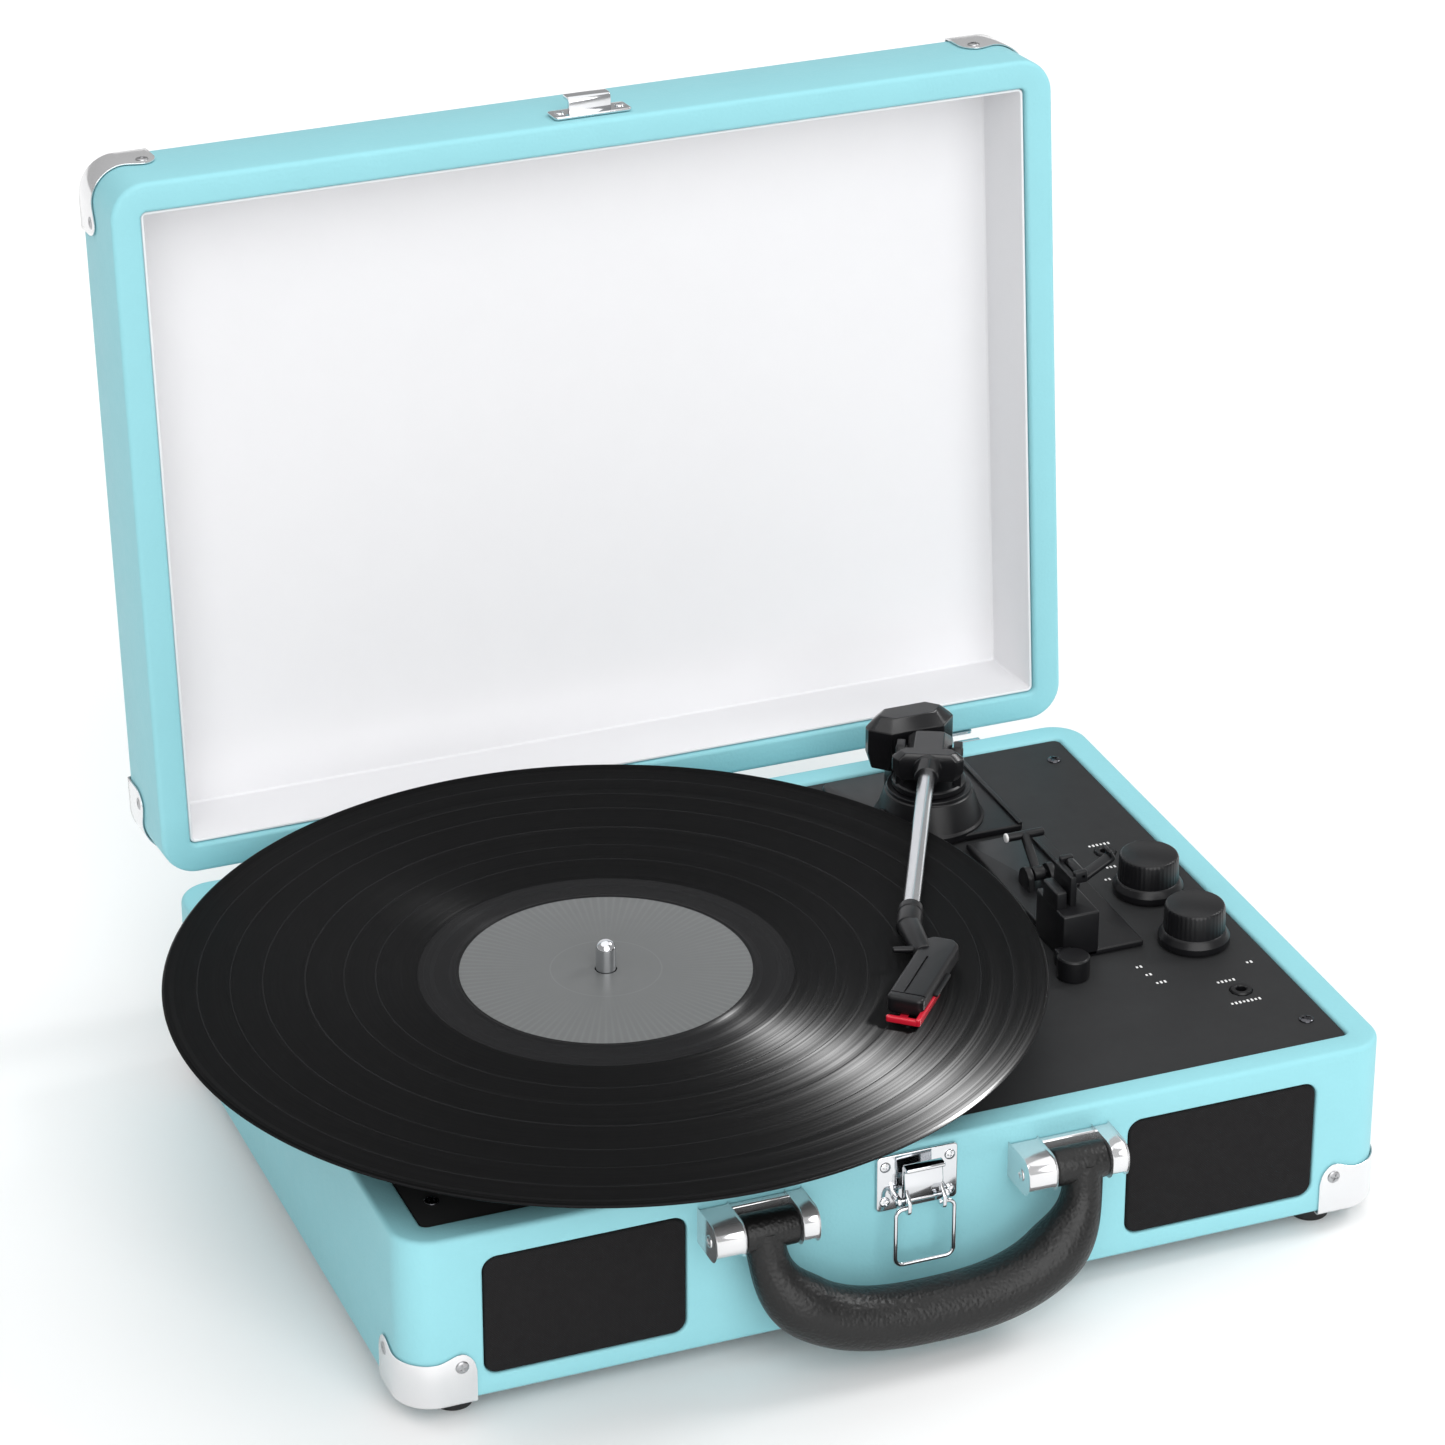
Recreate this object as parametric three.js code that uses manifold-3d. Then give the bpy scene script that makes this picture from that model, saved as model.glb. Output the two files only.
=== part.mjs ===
// Suitcase record player, open, with a 12 inch record on the platter.
// Millimetres, +Z up, +X to the right and +Y to the back as the listener sees it.
// The model is laid out around the middle of the case on the floor; the last lines move it so that
// the origin is the bottom centre of its bounding box.
import * as THREE from "three";
import { ConvexGeometry } from "three/addons/geometries/ConvexGeometry.js";
import { mergeVertices } from "three/addons/utils/BufferGeometryUtils.js";
import Module from "manifold-3d";

const wasm = await Module();
wasm.setup();

// ---------------------------------------------------------------- driving dimensions

const GAP = 0.3; // clearance between pieces that touch
const CASE = { width: 355, depth: 258, radius: 13, wall: 10.65 };
const FOOT_HEIGHT = 8;
const RIM = 71; // top edge of the base
const PARTING = 0.5; // gap between the base and the closed lid
const LID = { thickness: 40.7, panel: 3.7, openAngle: 95.64 };
const HINGE = { y: 132.75, z: 66.1, radius: 2.7, x: 125, width: 32 };
const DECK = { bottom: 67.2, top: 70 };
const SPINDLE = { x: -67.2, y: -21.2, radius: 3.5, top: 105 };
const PLATTER = { radius: 92, bottom: 73, top: 90 };
const MAT_TOP = 92;
const RECORD = { radius: 150.8, top: 94 };
const DRIVE = { rim: 60, pulley: 5, distance: 75, direction: 100, low: 78, high: 82 };
const GRILLE = { x: 114.85, z: 38.4, width: 70.7, height: 45, radius: 5 };
const ARM = { x: 95, y: 76, axis: 99.5, tube: 3, yaw: -26.6, tubeEnd: -127 };
const HEAD = { x: 12.6, y: -142, length: 44.5, width: 13, angle: 14.5 };
const KNOBS = { volume: [146.5, -40], selector: [147.3, -1], skirt: 12.75, top: 85.5 };
const JACKS = { line_in: [145.6, 31.1], headphone: [146.7, -77] };
const LATCH = { x: 1.5, width: 29, pivotY: -134.5, pivotZ: 53 };
const BAIL = { y: -2.8, z: -1.5, width: 21, drop: 21.5, wire: 0.8 };
const HANDLE = { loopX: 55.5, y: -140, z: 57, tilt: 13 };
const GRIP = { reach: 40, spread: 57, leg: 7.5, middle: 10.8, power: 2.5 };
const REAR_PANEL = { x: 100, z: 38, width: 70, height: 26 };

const FINE = 56; // sides of the large round pieces
const ROUND = 18;
const SMALL = 10;
const degrees = THREE.MathUtils.degToRad;
const SIDES = { left: -1, right: 1 };
const ENDS = { front: -1, back: 1 };

// ---------------------------------------------------------------- materials

const finish = (color, roughness, metalness) => () =>
  new THREE.MeshStandardMaterial({ color, roughness, metalness });
const leatherette = finish(0x8fd9e0, 0.6, 0);
const lining = finish(0xf1f1f2, 0.75, 0);
const deckPlastic = finish(0x2b2c2d, 0.55, 0);
const blackPlastic = finish(0x121212, 0.4, 0);
const rubber = finish(0x161616, 0.85, 0);
const chrome = finish(0xd9dadc, 0.15, 1);
const steel = finish(0x9a9b9d, 0.35, 1);
const vinyl = finish(0x0c0c0d, 0.25, 0);
const grilleCloth = finish(0x1c1a1b, 0.9, 0);
const board = finish(0x1f5b34, 0.6, 0);
const redPlastic = finish(0xc8283c, 0.4, 0);
const paperCone = finish(0x2a2a2a, 0.9, 0);

// ---------------------------------------------------------------- shaping helpers

function solid(geometry) {
  const bare = geometry.clone();
  bare.deleteAttribute("normal");
  bare.deleteAttribute("uv");
  const merged = mergeVertices(bare, 1e-4);
  const mesh = new wasm.Mesh({
    numProp: 3,
    vertProperties: merged.attributes.position.array,
    triVerts: new Uint32Array(merged.index.array),
  });
  return new wasm.Manifold(mesh);
}

function geometryOf(manifold) {
  const mesh = manifold.getMesh();
  const geometry = new THREE.BufferGeometry();
  geometry.setAttribute("position", new THREE.BufferAttribute(mesh.vertProperties, 3));
  geometry.setIndex(new THREE.BufferAttribute(mesh.triVerts, 1));
  geometry.computeVertexNormals();
  return geometry;
}

const join = (first, ...others) =>
  geometryOf(others.map(solid).reduce((sum, piece) => sum.add(piece), solid(first)));
const cut = (first, ...tools) =>
  geometryOf(tools.map(solid).reduce((rest, tool) => rest.subtract(tool), solid(first)));
const common = (first, second) => geometryOf(solid(first).intersect(solid(second)));

const vec = (x, y, z) => new THREE.Vector3(x, y, z);

function block([x0, x1], [y0, y1], [z0, z1]) {
  const box = new THREE.BoxGeometry(x1 - x0, y1 - y0, z1 - z0);
  return box.translate((x0 + x1) / 2, (y0 + y1) / 2, (z0 + z1) / 2);
}

// A round bar between two points, which may taper.
function rod(start, end, radius, sides = SMALL, endRadius = radius) {
  const along = end.clone().sub(start);
  const bar = new THREE.CylinderGeometry(endRadius, radius, along.length(), sides);
  const turn = new THREE.Quaternion().setFromUnitVectors(vec(0, 1, 0), along.clone().normalize());
  const middle = start.clone().add(end).multiplyScalar(0.5);
  return bar.applyQuaternion(turn).translate(middle.x, middle.y, middle.z);
}

const post = (x, y, [z0, z1], radius, sides = SMALL, topRadius = radius) =>
  rod(vec(x, y, z0), vec(x, y, z1), radius, sides, topRadius);

// A wire bent square: each stretch runs one radius past its corners, so that they close.
function wire(points, radius) {
  const pieces = points.slice(1).map((end, i) => {
    const past = end.clone().sub(points[i]).setLength(radius);
    return rod(points[i].clone().sub(past), end.clone().add(past), radius, 8);
  });
  return join(...pieces);
}

// Turns [radius, height] points, listed anticlockwise, about +Z. A profile off the axis closes on itself.
function turned(profile, sides = ROUND) {
  const points = profile.map(([radius, height]) => new THREE.Vector2(radius, height));
  const onAxis = profile[0][0] === 0 && profile.at(-1)[0] === 0;
  if (!onAxis) points.push(points[0].clone());
  return new THREE.LatheGeometry(points, sides).rotateX(Math.PI / 2);
}

function roundedRect(width, height, radius, x = 0, y = 0) {
  const [left, right] = [x - width / 2, x + width / 2];
  const [bottom, top] = [y - height / 2, y + height / 2];
  const shape = new THREE.Shape();
  shape.moveTo(left + radius, bottom);
  shape.lineTo(right - radius, bottom);
  shape.absarc(right - radius, bottom + radius, radius, -Math.PI / 2, 0);
  shape.lineTo(right, top - radius);
  shape.absarc(right - radius, top - radius, radius, 0, Math.PI / 2);
  shape.lineTo(left + radius, top);
  shape.absarc(left + radius, top - radius, radius, Math.PI / 2, Math.PI);
  shape.lineTo(left, bottom + radius);
  shape.absarc(left + radius, bottom + radius, radius, Math.PI, Math.PI * 1.5);
  return shape;
}

// An outline in X and Y, raised from z0 to z1.
function prism(shape, [z0, z1], steps = 3) {
  const options = { depth: z1 - z0, bevelEnabled: false, curveSegments: steps };
  return new THREE.ExtrudeGeometry(shape, options).translate(0, 0, z0);
}

// An outline in X and Z, from y0 to y1.
const wallPrism = (shape, [y0, y1], steps = 2) =>
  prism(shape, [-y1, -y0], steps).rotateX(Math.PI / 2);

// An outline in Y and Z, from x0 to x1.
const sidePrism = (shape, [x0, x1], steps = 3) =>
  prism(shape, [x0, x1], steps).applyMatrix4(
    new THREE.Matrix4().makeBasis(vec(0, 1, 0), vec(0, 0, 1), vec(1, 0, 0)),
  );

function polygon(points) {
  return new THREE.Shape(points.map(([x, y]) => new THREE.Vector2(x, y)));
}

function place(parent, name, geometry, material) {
  const mesh = new THREE.Mesh(geometry, material());
  mesh.name = name;
  parent.add(mesh);
}

// ---------------------------------------------------------------- case

const inner = { width: CASE.width - 2 * CASE.wall, depth: CASE.depth - 2 * CASE.wall };
const frontFace = -CASE.depth / 2;
const backFace = CASE.depth / 2;
const innerFront = frontFace + CASE.wall;
const lidBottom = RIM + PARTING;
const lidTop = lidBottom + LID.thickness;

const outline = (grow = 0) =>
  roundedRect(CASE.width + 2 * grow, CASE.depth + 2 * grow, CASE.radius + grow);
const cavity = (grow = 0) => roundedRect(inner.width + 2 * grow, inner.depth + 2 * grow, 3 + grow);

function baseFrame() {
  const ring = outline();
  ring.holes.push(cavity());
  const windows = Object.values(SIDES).map((side) => {
    const window = roundedRect(GRILLE.width, GRILLE.height, GRILLE.radius, side * GRILLE.x, GRILLE.z);
    return wallPrism(window, [frontFace - 1, innerFront + 1]);
  });
  const rear = roundedRect(REAR_PANEL.width, REAR_PANEL.height, 3, REAR_PANEL.x, REAR_PANEL.z);
  const rearWindow = wallPrism(rear, [backFace - CASE.wall - 1, backFace + 1]);
  return cut(prism(ring, [FOOT_HEIGHT, RIM]), ...windows, rearWindow);
}

const DECK_SCREWS = [158.5, 103.5];

function baseBottom() {
  const floor = prism(cavity(-GAP), [FOOT_HEIGHT + 1, FOOT_HEIGHT + 4]);
  const posts = [];
  for (const side of Object.values(SIDES)) {
    for (const end of Object.values(ENDS)) {
      const [x, y] = [side * DECK_SCREWS[0], end * DECK_SCREWS[1]];
      posts.push(post(x, y, [FOOT_HEIGHT + 3, DECK.bottom - GAP], 4.5));
    }
  }
  return join(floor, ...posts);
}

const driveAngle = degrees(DRIVE.direction);
const motorX = SPINDLE.x + DRIVE.distance * Math.cos(driveAngle);
const motorY = SPINDLE.y + DRIVE.distance * Math.sin(driveAngle);
const SWITCH = { x: 75.5, y: 74, travel: 5 };

function deckPlate() {
  const through = [DECK.bottom - 1, DECK.top + 1];
  const holes = [
    post(SPINDLE.x, SPINDLE.y, through, 6.5, ROUND),
    post(motorX, motorY, through, 3.5),
    block([SWITCH.x - 2.2, SWITCH.x + 2.2], [SWITCH.y - 9, SWITCH.y + 9], through),
    ...[KNOBS.volume, KNOBS.selector].map(([x, y]) => post(x, y, through, 4.5)),
    ...Object.values(JACKS).map(([x, y]) => post(x, y, through, 4.3)),
  ];
  for (const side of Object.values(SIDES)) {
    for (const end of Object.values(ENDS)) {
      holes.push(post(side * DECK_SCREWS[0], end * DECK_SCREWS[1], through, 2, 8));
    }
  }
  return cut(prism(cavity(-GAP), [DECK.bottom, DECK.top]), ...holes);
}

const FOOT = { x: 157, y: 115.5, radius: 7.5 };
const CAP = { thickness: 0.9, reach: 24.5, height: 19, lip: 5.5 };

// A sheet-metal corner cap for the lower corner of a case half that stands on z = 0. With a lip it
// reaches only that far under the case, clear of the foot.
function cornerCap(side, end, lip) {
  const shell = { outer: GAP + CAP.thickness, inner: GAP };
  const span = (sign, size) =>
    [sign * (size / 2 - CAP.reach), sign * (size / 2 + 3)].sort((a, b) => a - b);
  const reach = block(span(side, CASE.width), span(end, CASE.depth), [-3, CAP.height]);
  const outer = prism(outline(shell.outer), [-shell.outer, CAP.height]);
  const innerSpace = prism(outline(shell.inner), [-shell.inner, CAP.height + 1]);
  const cap = cut(common(reach, outer), innerSpace);
  return lip ? cut(cap, prism(outline(-lip), [-CAP.height, CAP.height])) : cap;
}

function speakerGrille(side) {
  const slack = 2 * GAP;
  const width = GRILLE.width - slack;
  const height = GRILLE.height - slack;
  const panel = roundedRect(width, height, GRILLE.radius - GAP, side * GRILLE.x, GRILLE.z);
  return wallPrism(panel, [frontFace + 0.2, frontFace + 3]);
}

// Flange, cone, basket and magnet of one loudspeaker, with its axis along +Y.
function speaker(side) {
  const profile = [
    [0, 6],
    [8, 5.5],
    [22, 0.8],
    [26, 0],
    [26, 2],
    [23, 3],
    [14, 13],
    [17, 13],
    [17, 24],
    [0, 24],
  ];
  const driver = turned(profile, ROUND).rotateX(-Math.PI / 2);
  return driver.translate(side * GRILLE.x, innerFront + GAP, GRILLE.z);
}

function rearJackPanel() {
  const y0 = backFace - CASE.wall + 0.5;
  const plate = roundedRect(
    REAR_PANEL.width - 2 * GAP,
    REAR_PANEL.height - 2 * GAP,
    3 - GAP,
    REAR_PANEL.x,
    REAR_PANEL.z,
  );
  const socket = (x, radius) =>
    rod(vec(x, y0 + 1, REAR_PANEL.z), vec(x, backFace - 1.5, REAR_PANEL.z), radius);
  const sockets = [-24, -8].map((offset) => socket(REAR_PANEL.x + offset, 4.2));
  const power = socket(REAR_PANEL.x + 18, 6);
  const bore = rod(
    vec(REAR_PANEL.x + 18, y0 + 3, REAR_PANEL.z),
    vec(REAR_PANEL.x + 18, backFace + 1, REAR_PANEL.z),
    3.4,
  );
  return cut(join(wallPrism(plate, [y0, y0 + 2]), ...sockets, power), bore);
}

// ---------------------------------------------------------------- drive

function spindleBearing() {
  const bore = 2.9;
  return turned([
    [bore, 45],
    [6, 45],
    [6, DECK.top + GAP],
    [13, DECK.top + GAP],
    [13, 72],
    [bore, 72],
  ]).translate(SPINDLE.x, SPINDLE.y, 0);
}

function motor() {
  const can = post(motorX, motorY, [42, 64], 16, ROUND);
  const neck = post(motorX, motorY, [63, DECK.bottom - GAP], 6);
  return cut(join(can, neck), post(motorX, motorY, [50, 70], 1.6));
}

function circuitBoard() {
  const panel = block([66, 128], [-64, 34], [17, 18.6]);
  const standoffs = [70, 124].flatMap((x) => [-60, 30].map((y) => post(x, y, [12.3, 17.5], 3, 8)));
  const capacitors = [-50, -36, -22].map((y) => post(78, y, [18, 30], 5));
  const chips = [-44, -18, 8].map((y) => block([98, 118], [y, y + 12], [18, 22]));
  const connector = block([72, 92], [6, 14], [18, 28]);
  return join(panel, ...standoffs, ...capacitors, ...chips, connector);
}

// The belt follows the two pulleys' common outline, one belt thickness wide.
function beltOutline(grow) {
  const lean = Math.acos((DRIVE.rim - DRIVE.pulley) / DRIVE.distance);
  const shape = new THREE.Shape();
  shape.absarc(0, 0, DRIVE.rim + grow, lean, 2 * Math.PI - lean);
  shape.absarc(DRIVE.distance, 0, DRIVE.pulley + grow, -lean, lean);
  return shape;
}

function driveBelt() {
  const loop = beltOutline(1.3);
  loop.holes.push(beltOutline(GAP));
  const band = prism(loop, [DRIVE.low, DRIVE.high], 24);
  return band.rotateZ(driveAngle).translate(SPINDLE.x, SPINDLE.y, 0);
}

function motorPulley() {
  return turned([
    [0, 56],
    [1, 56],
    [1, 75],
    [7, 75],
    [7, DRIVE.low - 1],
    [DRIVE.pulley, DRIVE.low - GAP],
    [DRIVE.pulley, DRIVE.high + GAP],
    [7, DRIVE.high + 1],
    [7, 84],
    [0, 84],
  ]);
}

function platter() {
  const hole = SPINDLE.radius + GAP;
  const under = PLATTER.top - 3;
  return turned(
    [
      [hole, 74],
      [9, 74],
      [9, under],
      [DRIVE.rim - 4, under],
      [DRIVE.rim - 4, 76],
      [DRIVE.rim, 76],
      [DRIVE.rim, under],
      [PLATTER.radius - 3, under],
      [PLATTER.radius - 3, PLATTER.bottom],
      [PLATTER.radius, PLATTER.bottom],
      [PLATTER.radius, PLATTER.top - 1],
      [PLATTER.radius - 1, PLATTER.top],
      [hole, PLATTER.top],
    ],
    FINE,
  );
}

function spindle() {
  return turned([
    [0, 40],
    [2.5, 40],
    [2.5, 73],
    [SPINDLE.radius, 74],
    [SPINDLE.radius, SPINDLE.top - 3],
    [2.4, SPINDLE.top - 0.6],
    [0, SPINDLE.top],
  ]);
}

// A flat disc with the spindle hole, thinned to a rounded edge where bevel is given.
function disc(radius, [low, high], bevel = 0) {
  const hole = SPINDLE.radius + GAP;
  const edge = [
    [radius - bevel, low],
    [radius, (low + high) / 2],
    [radius - bevel, high],
  ];
  const rim = bevel ? edge : [edge[0], edge[2]];
  return turned([[hole, low], ...rim, [hole, high]], FINE);
}

// ---------------------------------------------------------------- tonearm

const REST = { x0: 97, x1: 111, y0: -37, y1: -14, top: 88, wing: 128.5 };
const CLIP = { x: 107.3, y: -23.5, z: 99, span: 7, reach: 13.8, open: 150 };

function tonearmBase() {
  const plateTop = 73;
  const plate = block([67, 124.5], [56.5, 113], [DECK.top + GAP, plateTop]);
  const tower = post(ARM.x, ARM.y, [plateTop - 1, 86], 20.5, ROUND, 15.5);
  const bore = post(ARM.x, ARM.y, [72, 90], 4.6, ROUND);
  const pillar = block([88, 105], [93.9, 101.5], [plateTop - 1, 84.2]);
  const slot = block([SWITCH.x - 3.4, SWITCH.x + 3.4], [SWITCH.y - 11, SWITCH.y + 11], [60, 80]);
  return cut(join(plate, tower, pillar), bore, slot);
}

// A cut gem through levels of height, width, depth and corner chamfer.
function cutGem(levels) {
  const points = levels.flatMap(([z, width, depth, chamfer]) => {
    const ring = [];
    for (const sx of [-1, 1]) {
      for (const sy of [-1, 1]) {
        ring.push(vec((sx * width) / 2, sy * (depth / 2 - chamfer), z));
        ring.push(vec(sx * (width / 2 - chamfer), (sy * depth) / 2, z));
      }
    }
    return ring;
  });
  return new ConvexGeometry(points);
}

// The housing overhangs the arm's pivot from behind.
function tonearmHousing() {
  const levels = [
    [84.5, 30, 11, 5],
    [91.5, 34, 16, 6.5],
    [101, 34, 16, 6.5],
    [105.5, 24, 9, 4],
  ];
  return cutGem(levels).translate(ARM.x + 1.4, 97.8, 0);
}

function tonearmYoke() {
  const table = post(0, 0, [86.4, 89], 13.6, ROUND);
  const stem = post(0, 0, [74, 87], 4, ROUND);
  const cheeks = [-1, 1].flatMap((side) => {
    const [near, far] = [side * 8.8, side * 12];
    const span = [Math.min(near, far), Math.max(near, far)];
    const pin = rod(vec(side * 5, 0, ARM.axis), vec(side * 10, 0, ARM.axis), 1.5);
    return [block(span, [-6.5, 6], [88, ARM.axis + 4]), pin];
  });
  return join(table, stem, ...cheeks);
}

// The block between the cheeks, with a faceted shield in front that hides them.
function tonearmPivotBlock() {
  const body = block([-8.2, 8.2], [-12, 9], [ARM.axis - 5, ARM.axis + 5]);
  const levels = [
    [ARM.axis - 5.5, 22, 5, 2],
    [ARM.axis - 2, 26, 7, 2.5],
    [ARM.axis + 3, 26, 7, 2.5],
    [ARM.axis + 5.5, 20, 5, 2],
  ];
  const shield = cutGem(levels).translate(0, -11.1, 0);
  const collar = rod(vec(0, -11, ARM.axis), vec(0, -22, ARM.axis), 5.3, ROUND, 4.2);
  const socket = rod(vec(0, -8, ARM.axis), vec(0, -30, ARM.axis), ARM.tube + GAP, ROUND);
  const pinHoles = [-1, 1].map((side) =>
    rod(vec(side * 4, 0, ARM.axis), vec(side * 9, 0, ARM.axis), 1.9),
  );
  return cut(join(body, shield, collar), socket, ...pinHoles);
}

function tonearmTube() {
  const length = -8.3 - ARM.tubeEnd;
  const profile = [
    [ARM.tube - 0.7, 0],
    [ARM.tube, 0],
    [ARM.tube, length],
    [ARM.tube - 0.7, length],
  ];
  return turned(profile, 16).rotateX(Math.PI / 2).translate(0, -8.3, ARM.axis);
}

// Shapes on the head lie along its own axis, then turn with its offset angle.
const onHead = (geometry) =>
  geometry.rotateZ(degrees(-HEAD.angle)).translate(HEAD.x, HEAD.y, 0);

function headshell() {
  const collar = rod(vec(0, -119, ARM.axis), vec(0, -133, ARM.axis), 4.4, ROUND, 4.4);
  const neck = rod(vec(0, -131, ARM.axis), vec(6, -150, ARM.axis), 4.3, ROUND, 3.4);
  const half = HEAD.width / 2;
  const roof = onHead(block([-half, half], [-HEAD.length, 0], [98, 102]));
  const lift = rod(vec(4, -148, 100), vec(-4.5, -151, 101.5), 1.6, SMALL, 1);
  const socket = rod(vec(0, -100, ARM.axis), vec(0, ARM.tubeEnd - 0.5, ARM.axis), ARM.tube + GAP, ROUND);
  const space = onHead(block([-half + 1.6, half - 1.6], [-HEAD.length + 2, -2], [90, 99.6]));
  return cut(join(collar, neck, roof, lift), socket, space);
}

function cartridge() {
  const half = HEAD.width / 2 - 1.6 - GAP;
  return onHead(block([-half, half], [-HEAD.length + 2.3, -14], [95.6, 99.3]));
}

// Needle holder: a red blade along one side with a lip across the front, and the needle under it.
function stylus() {
  const blade = block([5.4, 7.2], [-HEAD.length - 5, -26], [94.9, 97.6]);
  const lip = block([-5, 7.2], [-HEAD.length - 5, -HEAD.length - 3], [94.9, 97]);
  const foot = block([-4, 7], [-HEAD.length + 3, -HEAD.length + 12], [94.9, 95.3]);
  const strut = block([-1.4, 1.4], [-HEAD.length - 4, -HEAD.length + 4], [94.9, 95.3]);
  const needle = post(0, -HEAD.length - 1, [RECORD.top + GAP, 95.1], 0.3, 6, 0.8);
  return onHead(join(blade, lip, foot, strut, needle));
}

// Plate, cradle block, side wing and front pillar in front of the arm base. The cradle's low inner
// lip and high outer prong let the arm swing in from the record side.
function armRest() {
  const low = DECK.top + GAP;
  const plate = block([99, REST.wing], [REST.y0, 51], [low, 72.6]);
  const cradle = block([REST.x0, REST.x1], [REST.y0, REST.y1], [low, REST.top]);
  const [front, back] = [CLIP.y - CLIP.span, CLIP.y + CLIP.span];
  const prong = block([102.4, 105], [front, back], [REST.top - 1, CLIP.z + 0.5]);
  const lugs = [front, back - 2.2].map((y) => block([104, 109], [y, y + 2.2], [96.5, 101]));
  const clipHole = rod(vec(CLIP.x, front - 1, CLIP.z), vec(CLIP.x, back + 1, CLIP.z), 1.25, 8);
  const lip = block([REST.x0, 101], [REST.y0 + 6, REST.y1 - 5], [REST.top - 1, 94.4]);
  const wing = prism(
    polygon([
      [REST.x1 - 1, REST.y0],
      [REST.wing, REST.y0],
      [REST.wing, -20],
      [REST.x1 - 1, 6],
    ]),
    [low, 78],
  );
  const pocket = block([114, 124], [REST.y0 + 5, -26], [75, 80]);
  const pillar = post(96.5, -47, [low, 78.5], 5.8, ROUND);
  const web = block([94, 100], [-46, REST.y0 + 1], [low, 76]);
  const ears = [105.2, 114].map((x) => block([x, x + 2.5], [9, 19], [72, 81]));
  const pinHole = rod(vec(104, 14, 77), vec(117, 14, 77), 1.4);
  const holder = [plate, cradle, prong, lip, wing, pillar, web, ...lugs, ...ears];
  return cut(join(...holder), pocket, pinHole, clipHole);
}

// Hook that closes over the parked arm, hinged on the outer side of the cradle's prong. It is
// drawn closed, about its pin.
function armClip() {
  const pin = rod(vec(0, -CLIP.span, 0), vec(0, CLIP.span, 0), 0.9, 8);
  const hub = rod(vec(0, -4.5, 0), vec(0, 4.5, 0), 1.8);
  const upright = block([-1, 1], [-2.5, 2.5], [0, 6]);
  const bar = block([-CLIP.reach, 1], [-2.5, 2.5], [4.4, 6.2]);
  const tip = block([-CLIP.reach, 1.4 - CLIP.reach], [-2.5, 2.5], [1.4, 6]);
  return join(pin, hub, upright, bar, tip);
}

function cueLever() {
  const pin = rod(vec(-5, 0, 0), vec(5.8, 0, 0), 1);
  const hub = rod(vec(-2, 0, 0), vec(2.4, 0, 0), 2.6);
  const stem = rod(vec(0, 0, 0), vec(3.5, 19, 5.5), 1.7);
  const bar = rod(vec(-4, 19, 5.5), vec(11, 19, 5.5), 1.6);
  return join(pin, hub, stem, bar);
}

// ---------------------------------------------------------------- controls

function knob() {
  const low = DECK.top + 0.8;
  const shaft = post(0, 0, [58, low + 1], 3, SMALL);
  const body = turned(
    [
      [0, low],
      [KNOBS.skirt, low],
      [KNOBS.skirt, low + 3],
      [11.4, low + 5],
      [10.9, KNOBS.top - 1.2],
      [9.8, KNOBS.top],
      [0, KNOBS.top],
    ],
    ROUND,
  );
  const pointer = block([-0.7, 0.7], [3, 13], [KNOBS.top - 8, KNOBS.top - 0.4]);
  return join(shaft, body, pointer);
}

function potentiometer([x, y]) {
  const can = post(x, y, [50, 63], 9, ROUND);
  const bush = post(x, y, [62, DECK.bottom - GAP], 5.5, ROUND);
  return cut(join(can, bush), post(x, y, [55, 70], 3.5, SMALL));
}

function jack([x, y]) {
  const body = post(x, y, [54, 66], 6, SMALL);
  const barrel = post(x, y, [65, DECK.top + 0.8], 3.9, ROUND);
  return cut(join(body, barrel), post(x, y, [57, DECK.top + 2], 1.9, SMALL));
}

function speedSwitch() {
  const body = block([-2.6, 2.6], [-5, 5], [71.2, 76.5]);
  const grip = block([-1.4, 1.4], [-2, 2], [76, 79.5]);
  const tail = block([-1.4, 1.4], [-2.5, 2.5], [62, 72]);
  return join(body, grip, tail);
}

// ---------------------------------------------------------------- latch, handle and hinges

function latchPlate() {
  const half = LATCH.width / 2;
  const backing = block([-half, half], [frontFace - 1.5, frontFace - GAP], [47.5, 68.5]);
  // The ears stay within 2 mm of the pin below it, where the bail's ends swing past.
  const ears = [-9.3, 7.9].flatMap((x) => [
    rod(vec(x, LATCH.pivotY, LATCH.pivotZ), vec(x + 1.4, LATCH.pivotY, LATCH.pivotZ), 2, ROUND),
    block([x, x + 1.4], [LATCH.pivotY, frontFace - 1], [52, 55]),
  ]);
  const bore = rod(vec(-12, LATCH.pivotY, LATCH.pivotZ), vec(12, LATCH.pivotY, LATCH.pivotZ), 1.4);
  const screwHoles = [-11.8, 11.8].map((x) =>
    rod(vec(x, frontFace - 3, 63), vec(x, frontFace, 63), 1.3, 8),
  );
  return cut(join(backing, ...ears), bore, ...screwHoles);
}

// The lever's own frame has its pin along X at the origin.
function latchLever() {
  const pin = rod(vec(-9.4, 0, 0), vec(9.4, 0, 0), 1, 8);
  const face = block([-7, 7], [-0.6, 0.8], [-1, 13]);
  const lip = block([-7, 7], [-3.4, 0.8], [11.8, 13.6]);
  const flanges = [-7, 5.6].map((x) => block([x, x + 1.4], [-5, 0.8], [-3.5, 3.5]));
  const bore = rod(vec(-8, BAIL.y, BAIL.z), vec(8, BAIL.y, BAIL.z), 1.35, 8);
  return cut(join(pin, face, lip, ...flanges), bore);
}

// The bail's own frame has its ends on the X axis.
function latchBail() {
  const half = BAIL.width / 2;
  return wire(
    [
      vec(-5, 0, 0),
      vec(-half, 0, 0),
      vec(-half, 0, -BAIL.drop),
      vec(half, 0, -BAIL.drop),
      vec(half, 0, 0),
      vec(5, 0, 0),
    ],
    BAIL.wire,
  );
}

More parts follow.
